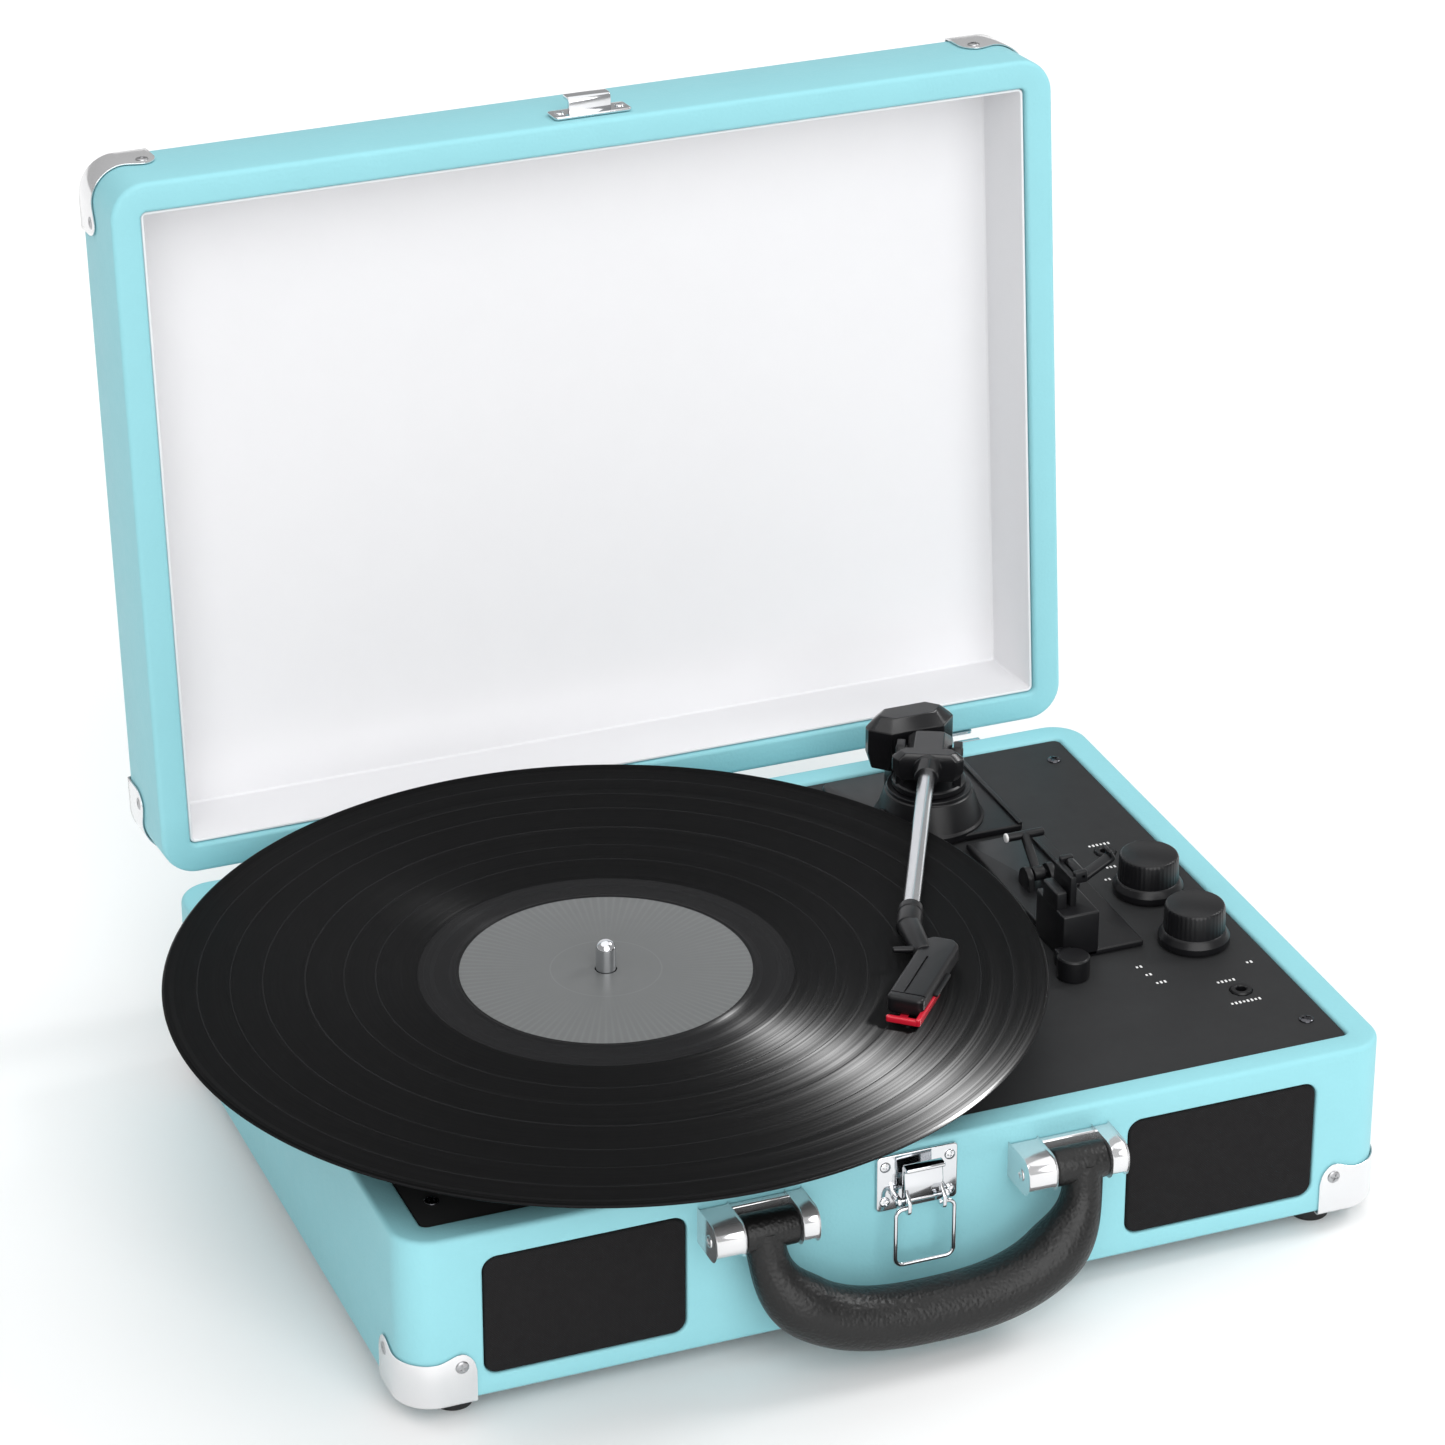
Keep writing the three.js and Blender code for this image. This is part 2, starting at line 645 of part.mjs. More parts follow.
// Catch on the closed lid's front face: a plate with a hook that the bail loops over.
function lidCatch() {
  const plate = block([-14.5, 14.5], [frontFace - 1.5, frontFace - GAP], [76, 86]);
  const shelf = block([-8, 8], [frontFace - 7, frontFace - 1], [80, 81.6]);
  const hook = block([-8, 8], [frontFace - 7, frontFace - 5.4], [80, 86]);
  return join(plate, shelf, hook);
}

const BRACKET = { offset: -2.3, width: 36.5, notch: 20, nose: 5.8 };

function handleBracket(side) {
  const centre = side * HANDLE.loopX + BRACKET.offset;
  const nose = new THREE.Shape();
  nose.moveTo(frontFace - GAP, HANDLE.z - BRACKET.nose);
  nose.lineTo(frontFace - GAP, HANDLE.z + BRACKET.nose);
  nose.lineTo(HANDLE.y, HANDLE.z + BRACKET.nose);
  nose.absarc(HANDLE.y, HANDLE.z, BRACKET.nose, Math.PI / 2, Math.PI * 1.5);
  const half = BRACKET.width / 2;
  const body = sidePrism(nose, [centre - half, centre + half], 4);
  const loop = side * HANDLE.loopX;
  const gap = [loop - BRACKET.notch / 2, loop + BRACKET.notch / 2];
  const notch = block(gap, [HANDLE.y - 10, frontFace - 3.2], [HANDLE.z - 10, HANDLE.z + 10]);
  const pin = rod(vec(gap[0] - 1, HANDLE.y, HANDLE.z), vec(gap[1] + 1, HANDLE.y, HANDLE.z), 2);
  return join(cut(body, notch), pin);
}

// The grip hangs in a superellipse below its pins. A margin leaves out that share of each end.
class GripCurve extends THREE.Curve {
  constructor(margin) {
    super();
    this.margin = margin;
  }

  getPoint(t, target = new THREE.Vector3()) {
    const power = 2 / GRIP.power;
    const angle = Math.PI * (this.margin + (1 - 2 * this.margin) * t);
    const across = Math.sign(Math.cos(angle)) * Math.abs(Math.cos(angle)) ** power;
    return target.set(-GRIP.spread * across, 0, -GRIP.reach * Math.sin(angle) ** power);
  }
}

function sweep(curve, radius, steps) {
  const section = new THREE.Shape().absarc(0, 0, radius, 0, 2 * Math.PI);
  const options = { steps, extrudePath: curve, curveSegments: 5 };
  return new THREE.ExtrudeGeometry(section, options);
}

function handle() {
  const loops = Object.values(SIDES).map((side) => {
    const centre = side * HANDLE.loopX;
    const reach = BRACKET.notch / 2 - GAP;
    return rod(vec(centre - reach, 0, 0), vec(centre + reach, 0, 0), 6.5, 16);
  });
  const bores = Object.values(SIDES).map((side) =>
    rod(vec(side * HANDLE.loopX - 15, 0, 0), vec(side * HANDLE.loopX + 15, 0, 0), 2.5),
  );
  const legs = sweep(new GripCurve(0), GRIP.leg, 20);
  const shoulders = sweep(new GripCurve(0.12), (GRIP.leg + GRIP.middle) / 2, 14);
  const grip = sweep(new GripCurve(0.18), GRIP.middle, 12);
  return cut(join(legs, shoulders, grip, ...loops), ...bores);
}

// A stretch of the hinge's width, from 0 at one end to 1 at the other.
const knuckleX = (side, from, to) =>
  [from, to].map((t) => side * HINGE.x + (t - 0.5) * HINGE.width);

function knuckle([x0, x1], radius) {
  return rod(vec(x0, HINGE.y, HINGE.z), vec(x1, HINGE.y, HINGE.z), radius);
}

// Leaf screwed to the back of the base, with the two outer knuckles and the pin.
function hingeBase(side) {
  const [x0, x1] = knuckleX(side, 0, 1);
  const leaf = block([x0, x1], [backFace + GAP, backFace + 1.5], [46, HINGE.z]);
  const middle = knuckleX(side, 1 / 3, 2 / 3);
  const pocket = block([middle[0] - GAP, middle[1] + GAP], [backFace, HINGE.y + 5], [62, 72]);
  const barrel = cut(join(leaf, knuckle([x0, x1], HINGE.radius)), pocket);
  return join(barrel, knuckle([x0 + 1, x1 - 1], 1));
}

// Leaf screwed to the back of the closed lid, with the middle knuckle.
function hingeLid(side) {
  const [x0, x1] = knuckleX(side, 0, 1);
  const middle = knuckleX(side, 1 / 3, 2 / 3);
  const leaf = block([x0, x1], [backFace + GAP, backFace + 1.5], [lidBottom + 0.5, 88]);
  const neck = block(middle, [backFace + GAP, backFace + 1.5], [HINGE.z, lidBottom + 1]);
  return cut(join(leaf, neck, knuckle(middle, HINGE.radius)), knuckle([x0, x1], 1.35));
}

// ---------------------------------------------------------------- lid, drawn closed

function lidShell() {
  const box = prism(outline(), [lidBottom, lidTop]);
  return cut(box, prism(cavity(), [lidBottom - 1, lidTop - LID.panel]));
}

function lidLining() {
  const ceiling = lidTop - LID.panel - GAP;
  const tray = prism(cavity(-GAP), [lidBottom + 2, ceiling]);
  return cut(tray, prism(cavity(-GAP - 1), [lidBottom, ceiling - 1]));
}

// ---------------------------------------------------------------- assembly

const player = new THREE.Group();

place(player, "base_frame", baseFrame(), leatherette);
place(player, "base_bottom", baseBottom(), blackPlastic);
place(player, "deck_plate", deckPlate(), deckPlastic);
place(player, "latch_plate", latchPlate().translate(LATCH.x, 0, 0), chrome);
place(player, "motor", motor(), steel);
place(player, "circuit_board", circuitBoard(), board);
place(player, "rear_jack_panel", rearJackPanel(), blackPlastic);
place(player, "spindle_bearing", spindleBearing(), steel);
place(player, "drive_belt", driveBelt(), rubber);
place(player, "tonearm_base", tonearmBase(), blackPlastic);
place(player, "tonearm_housing", tonearmHousing(), blackPlastic);
place(player, "arm_rest", armRest(), blackPlastic);
place(player, "volume_pot", potentiometer(KNOBS.volume), steel);
place(player, "selector_pot", potentiometer(KNOBS.selector), steel);
place(player, "line_in_jack", jack(JACKS.line_in), blackPlastic);
place(player, "headphone_jack", jack(JACKS.headphone), blackPlastic);

for (const [sideName, side] of Object.entries(SIDES)) {
  place(player, `speaker_grille_${sideName}`, speakerGrille(side), grilleCloth);
  place(player, `speaker_${sideName}`, speaker(side), paperCone);
  place(player, `handle_bracket_${sideName}`, handleBracket(side), chrome);
  place(player, `hinge_base_${sideName}`, hingeBase(side), chrome);
  for (const [endName, end] of Object.entries(ENDS)) {
    const where = `${endName}_${sideName}`;
    const foot = post(side * FOOT.x, end * FOOT.y, [0, FOOT_HEIGHT - GAP], 6.6, ROUND, FOOT.radius);
    place(player, `foot_${where}`, foot, rubber);
    const cap = cornerCap(side, end, CAP.lip).translate(0, 0, FOOT_HEIGHT);
    place(player, `base_corner_${where}`, cap, chrome);
  }
}

const turntable = new THREE.Group();
turntable.position.set(SPINDLE.x, SPINDLE.y, 0);
player.add(turntable);
place(turntable, "platter", platter(), blackPlastic);
place(turntable, "spindle", spindle(), chrome);
place(turntable, "slip_mat", disc(PLATTER.radius - 2, [PLATTER.top + GAP, MAT_TOP]), rubber);
place(turntable, "vinyl_record", disc(RECORD.radius, [MAT_TOP + GAP, RECORD.top], 1.2), vinyl);

const motorShaft = new THREE.Group();
motorShaft.position.set(motorX, motorY, 0);
player.add(motorShaft);
place(motorShaft, "motor_pulley", motorPulley(), steel);

const arm = new THREE.Group();
arm.position.set(ARM.x, ARM.y, 0);
arm.rotation.z = degrees(ARM.yaw);
player.add(arm);
place(arm, "tonearm_yoke", tonearmYoke(), blackPlastic);
place(arm, "tonearm_pivot_block", tonearmPivotBlock(), blackPlastic);
place(arm, "tonearm_tube", tonearmTube(), chrome);
place(arm, "headshell", headshell(), blackPlastic);
place(arm, "cartridge", cartridge(), blackPlastic);
place(arm, "stylus", stylus(), redPlastic);

const clip = new THREE.Group();
clip.position.set(CLIP.x, CLIP.y, CLIP.z);
clip.rotation.y = degrees(CLIP.open);
player.add(clip);
place(clip, "arm_clip", armClip(), blackPlastic);

const lift = new THREE.Group();
lift.position.set(110.5, 14, 77);
player.add(lift);
place(lift, "cue_lever", cueLever(), blackPlastic);

for (const [name, [x, y]] of Object.entries({ volume: KNOBS.volume, selector: KNOBS.selector })) {
  const stem = new THREE.Group();
  stem.position.set(x, y, 0);
  player.add(stem);
  place(stem, `${name}_knob`, knob(), blackPlastic);
}

const slider = new THREE.Group();
slider.position.set(SWITCH.x, SWITCH.y, 0);
player.add(slider);
place(slider, "speed_switch", speedSwitch(), blackPlastic);

const latch = new THREE.Group();
latch.position.set(LATCH.x, LATCH.pivotY, LATCH.pivotZ);
player.add(latch);
place(latch, "latch_lever", latchLever(), chrome);
const bail = new THREE.Group();
bail.position.set(0, BAIL.y, BAIL.z);
latch.add(bail);
place(bail, "latch_bail", latchBail(), chrome);

const grip = new THREE.Group();
grip.position.set(0, HANDLE.y, HANDLE.z);
grip.rotation.x = degrees(-HANDLE.tilt);
player.add(grip);
place(grip, "handle", handle(), rubber);

// The lid group turns about the hinge pin; its pieces are drawn closed, in the case's frame.
const lid = new THREE.Group();
lid.position.set(0, HINGE.y, HINGE.z);
lid.rotation.x = degrees(-LID.openAngle);
player.add(lid);
const closed = new THREE.Group();
closed.position.set(0, -HINGE.y, -HINGE.z);
lid.add(closed);
place(closed, "lid_shell", lidShell(), leatherette);
place(closed, "lid_lining", lidLining(), lining);
place(closed, "lid_catch", lidCatch().translate(LATCH.x, 0, 0), chrome);
for (const [sideName, side] of Object.entries(SIDES)) {
  place(closed, `hinge_lid_${sideName}`, hingeLid(side), chrome);
  for (const [endName, end] of Object.entries(ENDS)) {
    const cap = cornerCap(-side, end, 0).rotateY(Math.PI).translate(0, 0, lidTop);
    place(closed, `lid_corner_${endName}_${sideName}`, cap, chrome);
  }
}

const recordPlayer = new THREE.Group();
recordPlayer.add(player);
const bounds = new THREE.Box3().setFromObject(recordPlayer, true);
const centre = bounds.getCenter(new THREE.Vector3());
player.position.set(-centre.x, -centre.y, -bounds.min.z);

export default recordPlayer;
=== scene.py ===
"""Looks for the open suitcase record player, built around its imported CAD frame.

Shapes are drawn in millimetres around the middle of the case on the floor, as the CAD draws them,
and become metres in the frame's own place when a piece is made.
"""

from math import copysign, cos, exp, pi, radians, sin, sqrt, tan

import bmesh
import bpy
from mathutils import Matrix, Vector


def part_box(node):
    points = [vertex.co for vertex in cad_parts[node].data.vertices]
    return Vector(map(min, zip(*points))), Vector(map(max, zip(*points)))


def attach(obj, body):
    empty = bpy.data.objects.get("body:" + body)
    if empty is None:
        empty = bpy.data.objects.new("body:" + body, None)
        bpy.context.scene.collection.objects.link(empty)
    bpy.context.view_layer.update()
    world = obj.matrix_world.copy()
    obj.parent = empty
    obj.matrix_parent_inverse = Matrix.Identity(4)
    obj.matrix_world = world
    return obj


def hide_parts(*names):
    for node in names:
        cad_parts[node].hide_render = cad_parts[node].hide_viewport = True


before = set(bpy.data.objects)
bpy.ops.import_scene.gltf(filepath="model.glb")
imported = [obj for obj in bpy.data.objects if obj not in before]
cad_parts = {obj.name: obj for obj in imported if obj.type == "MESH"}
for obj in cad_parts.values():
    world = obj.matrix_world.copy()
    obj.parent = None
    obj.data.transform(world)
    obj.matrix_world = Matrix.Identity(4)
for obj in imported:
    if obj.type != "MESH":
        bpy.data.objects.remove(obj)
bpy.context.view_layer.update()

# ---- driving dimensions, mm

MM = 0.001  # one millimetre in the frame's metres
GAP = 0.3  # between a piece and what it lies on or fits in
SHEET = 1.5  # from the case's wall to the outer face of a pressed plate on it
SEAT = 1.4  # from the case's wall to the seat of that plate's screws
CUT = 14  # depth of the openings cut in the case's wall
WELD = 1e-4  # points nearer to each other than this become one
SHARP = 35  # degrees from which an edge is sharp
CASE = {"width": 355, "depth": 258, "radius": 13, "wall": 10.65}
FOOT_HEIGHT = 8
RIM = 71
LID = {"bottom": 71.5, "top": 112.2, "panel": 3.7, "open": 95.64}
HINGE = {"y": 132.75, "z": 66.1, "radius": 2.7, "x": 125, "width": 32}
DECK_TOP = 70
SPINDLE = {"x": -67.2, "y": -21.2, "radius": 3.5, "top": 105}
PLATTER = {"radius": 92, "bottom": 73, "top": 90, "drive_rim": 60}
MAT_TOP = 92
RECORD = {"radius": 150.8, "top": 94, "label": 50, "dead_wax": 64}
GRILLE = {"x": 114.85, "z": 38.4, "width": 70.7, "height": 45, "radius": 5}
ARM = {"x": 95, "y": 76, "axis": 99.5, "tube": 3, "yaw": -26.6, "end": -127}
HEAD = {"x": 12.6, "y": -142, "length": 44.5, "width": 13, "angle": 14.5}
KNOBS = {"volume": (146.5, -40), "selector": (147.3, -1)}
JACKS = {"line_in": (145.6, 31.1), "headphone": (146.7, -77)}
LATCH = {"x": 1.5, "y": -134.5, "z": 53, "width": 29}
BAIL = {"y": -2.8, "z": -1.5, "width": 21, "drop": 21.5, "wire": 0.8}
HANDLE = {"loop": 55.5, "y": -140, "z": 57, "tilt": 13}
GRIP = {"reach": 40, "spread": 57, "ends": 6.8, "middle": 10.8, "power": 2.5}
BRACKET = {"offset": -2.3, "width": 36.5, "notch": 20, "nose": 5.8}
CAP = {"reach": 24.5, "thickness": 0.55, "lip": 5.5, "lobe": 16.6, "end": 5.5, "screw": 14}
FOOT = {"x": 157, "y": 115.5}
SCREWS = {"x": 158.5, "y": 103.5}
REAR_PANEL = {"x": 100, "z": 38, "width": 70, "height": 26, "radius": 3}
SWITCH = {"x": 75.5, "y": 74}
REST = {"x0": 97, "x1": 111, "y0": -37, "y1": -14, "top": 88, "wing": 128.5}
CLIP = {"x": 107.3, "y": -23.5, "z": 99, "reach": 13.8, "open": 150}

FRONT_Y = -CASE["depth"] / 2
BACK_Y = CASE["depth"] / 2
SIDES = {"left": -1, "right": 1}
ENDS = {"front": -1, "back": 1}
CORNERS = [(f"{end}_{side}", SIDES[side], ENDS[end]) for side in SIDES for end in ENDS]

case_low, case_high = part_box("base_frame")
CASE_CENTRE = Vector(((case_low.x + case_high.x) / 2, (case_low.y + case_high.y) / 2, 0))
TO_FRAME = Matrix.Translation(CASE_CENTRE) @ Matrix.Scale(MM, 4)


def move(x=0, y=0, z=0):
    return Matrix.Translation((x, y, z))


def turn(degrees, axis):
    return Matrix.Rotation(radians(degrees), 4, axis)


# Turns an outline drawn in X and Y to stand in X and Z, its thickness towards the front.
FRONT = turn(90, "X")
# The same, with its thickness towards the back.
BEHIND = turn(180, "Z") @ FRONT
# Turns an outline drawn in X and Y to lie in Y and Z, its thickness along X.
SIDE = Matrix(((0, 0, 1, 0), (1, 0, 0, 0), (0, 1, 0, 0), (0, 0, 0, 1)))

hinge_line = move(0, HINGE["y"], HINGE["z"])
OPEN_LID = hinge_line @ turn(-LID["open"], "X") @ hinge_line.inverted()
ON_ARM = move(ARM["x"], ARM["y"]) @ turn(ARM["yaw"], "Z")
ON_HEAD = ON_ARM @ move(HEAD["x"], HEAD["y"]) @ turn(-HEAD["angle"], "Z")
ON_LATCH = move(LATCH["x"], LATCH["y"], LATCH["z"])
ON_HANDLE = move(0, HANDLE["y"], HANDLE["z"]) @ turn(-HANDLE["tilt"], "X")
ON_SPINDLE = move(SPINDLE["x"], SPINDLE["y"])

# ---- shapes


class Shape:
    """Points and faces, in millimetres."""

    def __init__(self, points=(), faces=()):
        self.points = [Vector(p) for p in points]
        self.faces = [tuple(f) for f in faces]

    def __add__(self, other):
        start = len(self.points)
        faces = [tuple(i + start for i in face) for face in other.faces]
        return Shape(self.points + other.points, self.faces + faces)

    def moved(self, matrix):
        return Shape([matrix @ p for p in self.points], self.faces)

    def at(self, x=0, y=0, z=0):
        return self.moved(move(x, y, z))


def joined(shapes):
    return sum(shapes, Shape())


def skin(rings, loop=False, caps=True):
    """Faces between rings of points. A ring of one point is a tip."""
    starts = [sum(len(r) for r in rings[:i]) for i in range(len(rings))]
    faces = []
    pairs = [(i, i + 1) for i in range(len(rings) - 1)] + ([(len(rings) - 1, 0)] if loop else [])
    for a, b in pairs:
        count = max(len(rings[a]), len(rings[b]))
        for i in range(count):
            j = (i + 1) % count
            low = [starts[a] + k % len(rings[a]) for k in (i, j)]
            high = [starts[b] + k % len(rings[b]) for k in (j, i)]
            faces.append(tuple(dict.fromkeys(low + high)))
    if caps and not loop:
        for k, ring in ((0, rings[0]), (-1, rings[-1])):
            if len(ring) > 2:
                first = starts[k]
                faces.append(tuple(range(first, first + len(ring))))
    return Shape([p for ring in rings for p in ring], faces)


def soften(points, radius, closed=True, steps=4):
    """Rounds the corners of a 2-D outline. A point may carry its own radius as a third number."""
    result = []
    for i, point in enumerate(points):
        here = Vector(point[:2])
        own = point[2] if len(point) > 2 else radius
        if own == 0 or (not closed and i in (0, len(points) - 1)):
            result.append(here)
            continue
        before = Vector(points[i - 1][:2]) - here
        after = Vector(points[(i + 1) % len(points)][:2]) - here
        half = before.angle(after) / 2
        if half > radians(89):
            result.append(here)
            continue
        back = min(own / tan(half), 0.49 * before.length, 0.49 * after.length)
        before.normalize()
        after.normalize()
        centre = here + (before + after).normalized() * (back / cos(half))
        start = here + before * back - centre
        end = here + after * back - centre
        sign = 1 if start.x * end.y - start.y * end.x > 0 else -1
        for k in range(steps + 1):
            angle = sign * start.angle(end) * k / steps
            c, s = cos(angle), sin(angle)
            result.append(centre + Vector((start.x * c - start.y * s, start.x * s + start.y * c)))
    return result


def inset(outline, distance):
    """The outline, listed anticlockwise, pulled in by a distance."""
    result = []
    for i, point in enumerate(outline):
        before = (point - outline[i - 1]).normalized()
        after = (outline[(i + 1) % len(outline)] - point).normalized()
        normals = Vector((-before.y, before.x)) + Vector((-after.y, after.x))
        result.append(point + normals * (2 * distance / max(normals.length_squared, 0.5)))
    return result


def level(outline, z):
    """The points of an outline at a height."""
    return [Vector((p.x, p.y, z)) for p in outline]


def quarter(steps, first=0):
    """Sine and cosine of angles that go through a quarter turn in equal steps."""
    angles = [pi / 2 * k / steps for k in range(first, steps + 1)]
    return [(sin(a), cos(a)) for a in angles]


def full_turn(sides):
    """Angles that go once round in equal steps."""
    return [2 * pi * i / sides for i in range(sides)]


def slab(outline, low, high, edge=0.4, steps=3):
    """An outline raised from low to high, its edges rounded."""
    levels = [(edge * (1 - sine), low + edge * (1 - cosine)) for sine, cosine in quarter(steps)]
    levels += [(pull, low + high - z) for pull, z in reversed(levels)]
    return skin([level(inset(outline, pull), z) for pull, z in levels])


def rectangle(x, y, radius, steps=4):
    corners = [(x[0], y[0]), (x[1], y[0]), (x[1], y[1]), (x[0], y[1])]
    return soften(corners, radius, steps=steps)


def block(x, y, z, edge=0.5):
    return slab(rectangle(x, y, edge + 0.05), z[0], z[1], edge)


def around(centre, size):
    """Both ends of a length with its middle at a centre."""
    return (centre - size / 2, centre + size / 2)


def on_front(outline, low, high, edge=0.4, steps=3):
    """An outline in X and Z raised from the case's front face."""
    return slab(outline, low - FRONT_Y, high - FRONT_Y, edge, steps).moved(FRONT)


def sideways(outline, x, edge):
    """An outline in Y and Z carried along X."""
    return slab(outline, x[0], x[1], edge).moved(SIDE)


def lathe(profile, sides=96, edge=0.0, closed=False):
    """A profile of radius and height turned about Z."""
    outline = soften(profile, edge, closed=closed)
    rings = []
    for radius, height in outline:
        if radius < 1e-6:
            rings.append([Vector((0, 0, height))])
            continue
        ring = [(radius * cos(a), radius * sin(a), height) for a in full_turn(sides)]
        rings.append([Vector(p) for p in ring])
    return skin(rings, loop=closed, caps=False)


def rod(start, end, radius, edge=0.3, sides=40, end_radius=None):
    """A round bar between two points, with rounded ends."""
    start, end = Vector(start), Vector(end)
    length = (end - start).length
    top = radius if end_radius is None else end_radius
    upright = lathe([(0, 0), (radius, 0), (top, length), (0, length)], sides, edge)
    direction = (end - start).to_track_quat("Z", "Y").to_matrix().to_4x4()
    return upright.moved(Matrix.Translation(start) @ direction)


def bar(x, y, z, radius, edge=0.3, sides=40):
    """A round bar along X."""
    return rod((x[0], y, z), (x[1], y, z), radius, edge, sides)


def sweep(path, radii, sides):
    """A round bar along a path in X and Z, with a radius for each point of the path."""
    rings = []
    for i, point in enumerate(path):
        ahead = path[min(i + 1, len(path) - 1)] - path[max(i - 1, 0)]
        across = Vector((ahead.z, 0, -ahead.x)).normalized()
        radius = radii[i]
        ring = [(across * radius * cos(a), radius * sin(a)) for a in full_turn(sides)]
        rings.append([point + side + Vector((0, y, 0)) for side, y in ring])
    return skin(rings)


def wire(corners, radius, bend):
    """A round wire through corners given in X and Z."""
    path = [Vector((p.x, 0, p.y)) for p in soften(corners, bend, closed=False, steps=8)]
    return sweep(path, [radius] * len(path), 20)


def hoop(profile, closed=False):
    """A profile of outward offset and height carried round the case's outline."""
    steps = 12
    half_x = CASE["width"] / 2 - CASE["radius"]
    half_y = CASE["depth"] / 2 - CASE["radius"]
    spots = []
    for corner, (sx, sy) in enumerate([(1, 1), (-1, 1), (-1, -1), (1, -1)]):
        for k in range(steps + 1):
            angle = pi / 2 * (corner + k / steps)
            direction = Vector((cos(angle), sin(angle), 0))
            spots.append((Vector((sx * half_x, sy * half_y, 0)), direction))
    rings = []
    for offset, height in profile:
        reach = CASE["radius"] + offset
        rings.append([centre + way * reach + Vector((0, 0, height)) for centre, way in spots])
    return skin(rings, loop=closed)


def made(name, shape, matrix=None):
    """A Blender object from a shape, its faces turned outwards."""
    mesh = bpy.data.meshes.new(name)
    points = [matrix @ p for p in shape.points] if matrix else shape.points
    mesh.from_pydata(points, [], shape.faces)
    bm = bmesh.new()
    bm.from_mesh(mesh)
    bmesh.ops.remove_doubles(bm, verts=bm.verts, dist=WELD * MM if matrix else WELD)
    bmesh.ops.recalc_face_normals(bm, faces=bm.faces)
    bm.to_mesh(mesh)
    bm.free()
    obj = bpy.data.objects.new(name, mesh)
    bpy.context.scene.collection.objects.link(obj)
    return obj


def carved(shape, *cutters):
    """The shape with the cutters taken out of it."""
    host = made("host", shape)
    tools = [made("tool", cutter) for cutter in cutters]
    for tool in tools:
        cut = host.modifiers.new("cut", "BOOLEAN")
        cut.object = tool
        cut.operation = "DIFFERENCE"
        cut.solver = "EXACT"
    graph = bpy.context.evaluated_depsgraph_get()
    mesh = host.evaluated_get(graph).to_mesh()
    points = [v.co.copy() for v in mesh.vertices]
    faces = [tuple(p.vertices) for p in mesh.polygons]
    for obj in [host, *tools]:
        bpy.data.objects.remove(obj)
    return Shape(points, faces)


def piece(name, shape, material, body, stands_for=(), bevel=0.0, sharp=SHARP):
    """A finished piece that rides on a body and stands for CAD nodes."""
    obj = made(name, shape, TO_FRAME)
    obj.data.materials.append(material)
    obj.data.shade_smooth()
    obj.data.set_sharp_from_angle(angle=radians(sharp))
    if bevel:
        soft_edges(obj, bevel)
    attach(obj, body)
    if stands_for:
        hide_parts(*stands_for)


def stand_in(node, finish, shape, material, body, **values):
    """The piece that one CAD node is shown as."""
    piece(f"{node}.{finish}", shape, material, body, [node], **values)


def soft_edges(obj, width):
    bevel = obj.modifiers.new("soft edges", "BEVEL")
    bevel.width = width * MM
    bevel.segments = 3
    bevel.limit_method = "ANGLE"
    bevel.angle_limit = radians(SHARP)
    bevel.harden_normals = True
    bevel.use_clamp_overlap = True


def screw(radius, height):
    """A domed cross-head screw, its seat at z = 0."""
    dome = [(0, -0.6), (radius, -0.6), (radius, height * 0.35)]
    dome += [(radius * cosine, height * (0.35 + 0.65 * sine)) for sine, cosine in quarter(5, 1)]
    head = lathe(dome, 32)
    long, thin = around(0, radius * 1.24), around(0, radius * 0.32)
    cut = (height * 0.45, height + 1)
    return carved(head, block(long, thin, cut, 0.05), block(thin, long, cut, 0.05))


def with_screws(shape, head, facing, spots):
    """The shape with a screw at each spot of x, y and z, its slots turned by an angle."""
    for *spot, angle in spots:
        shape += head.moved(move(*spot) @ facing @ turn(angle, "Z"))
    return shape


# ---- materials


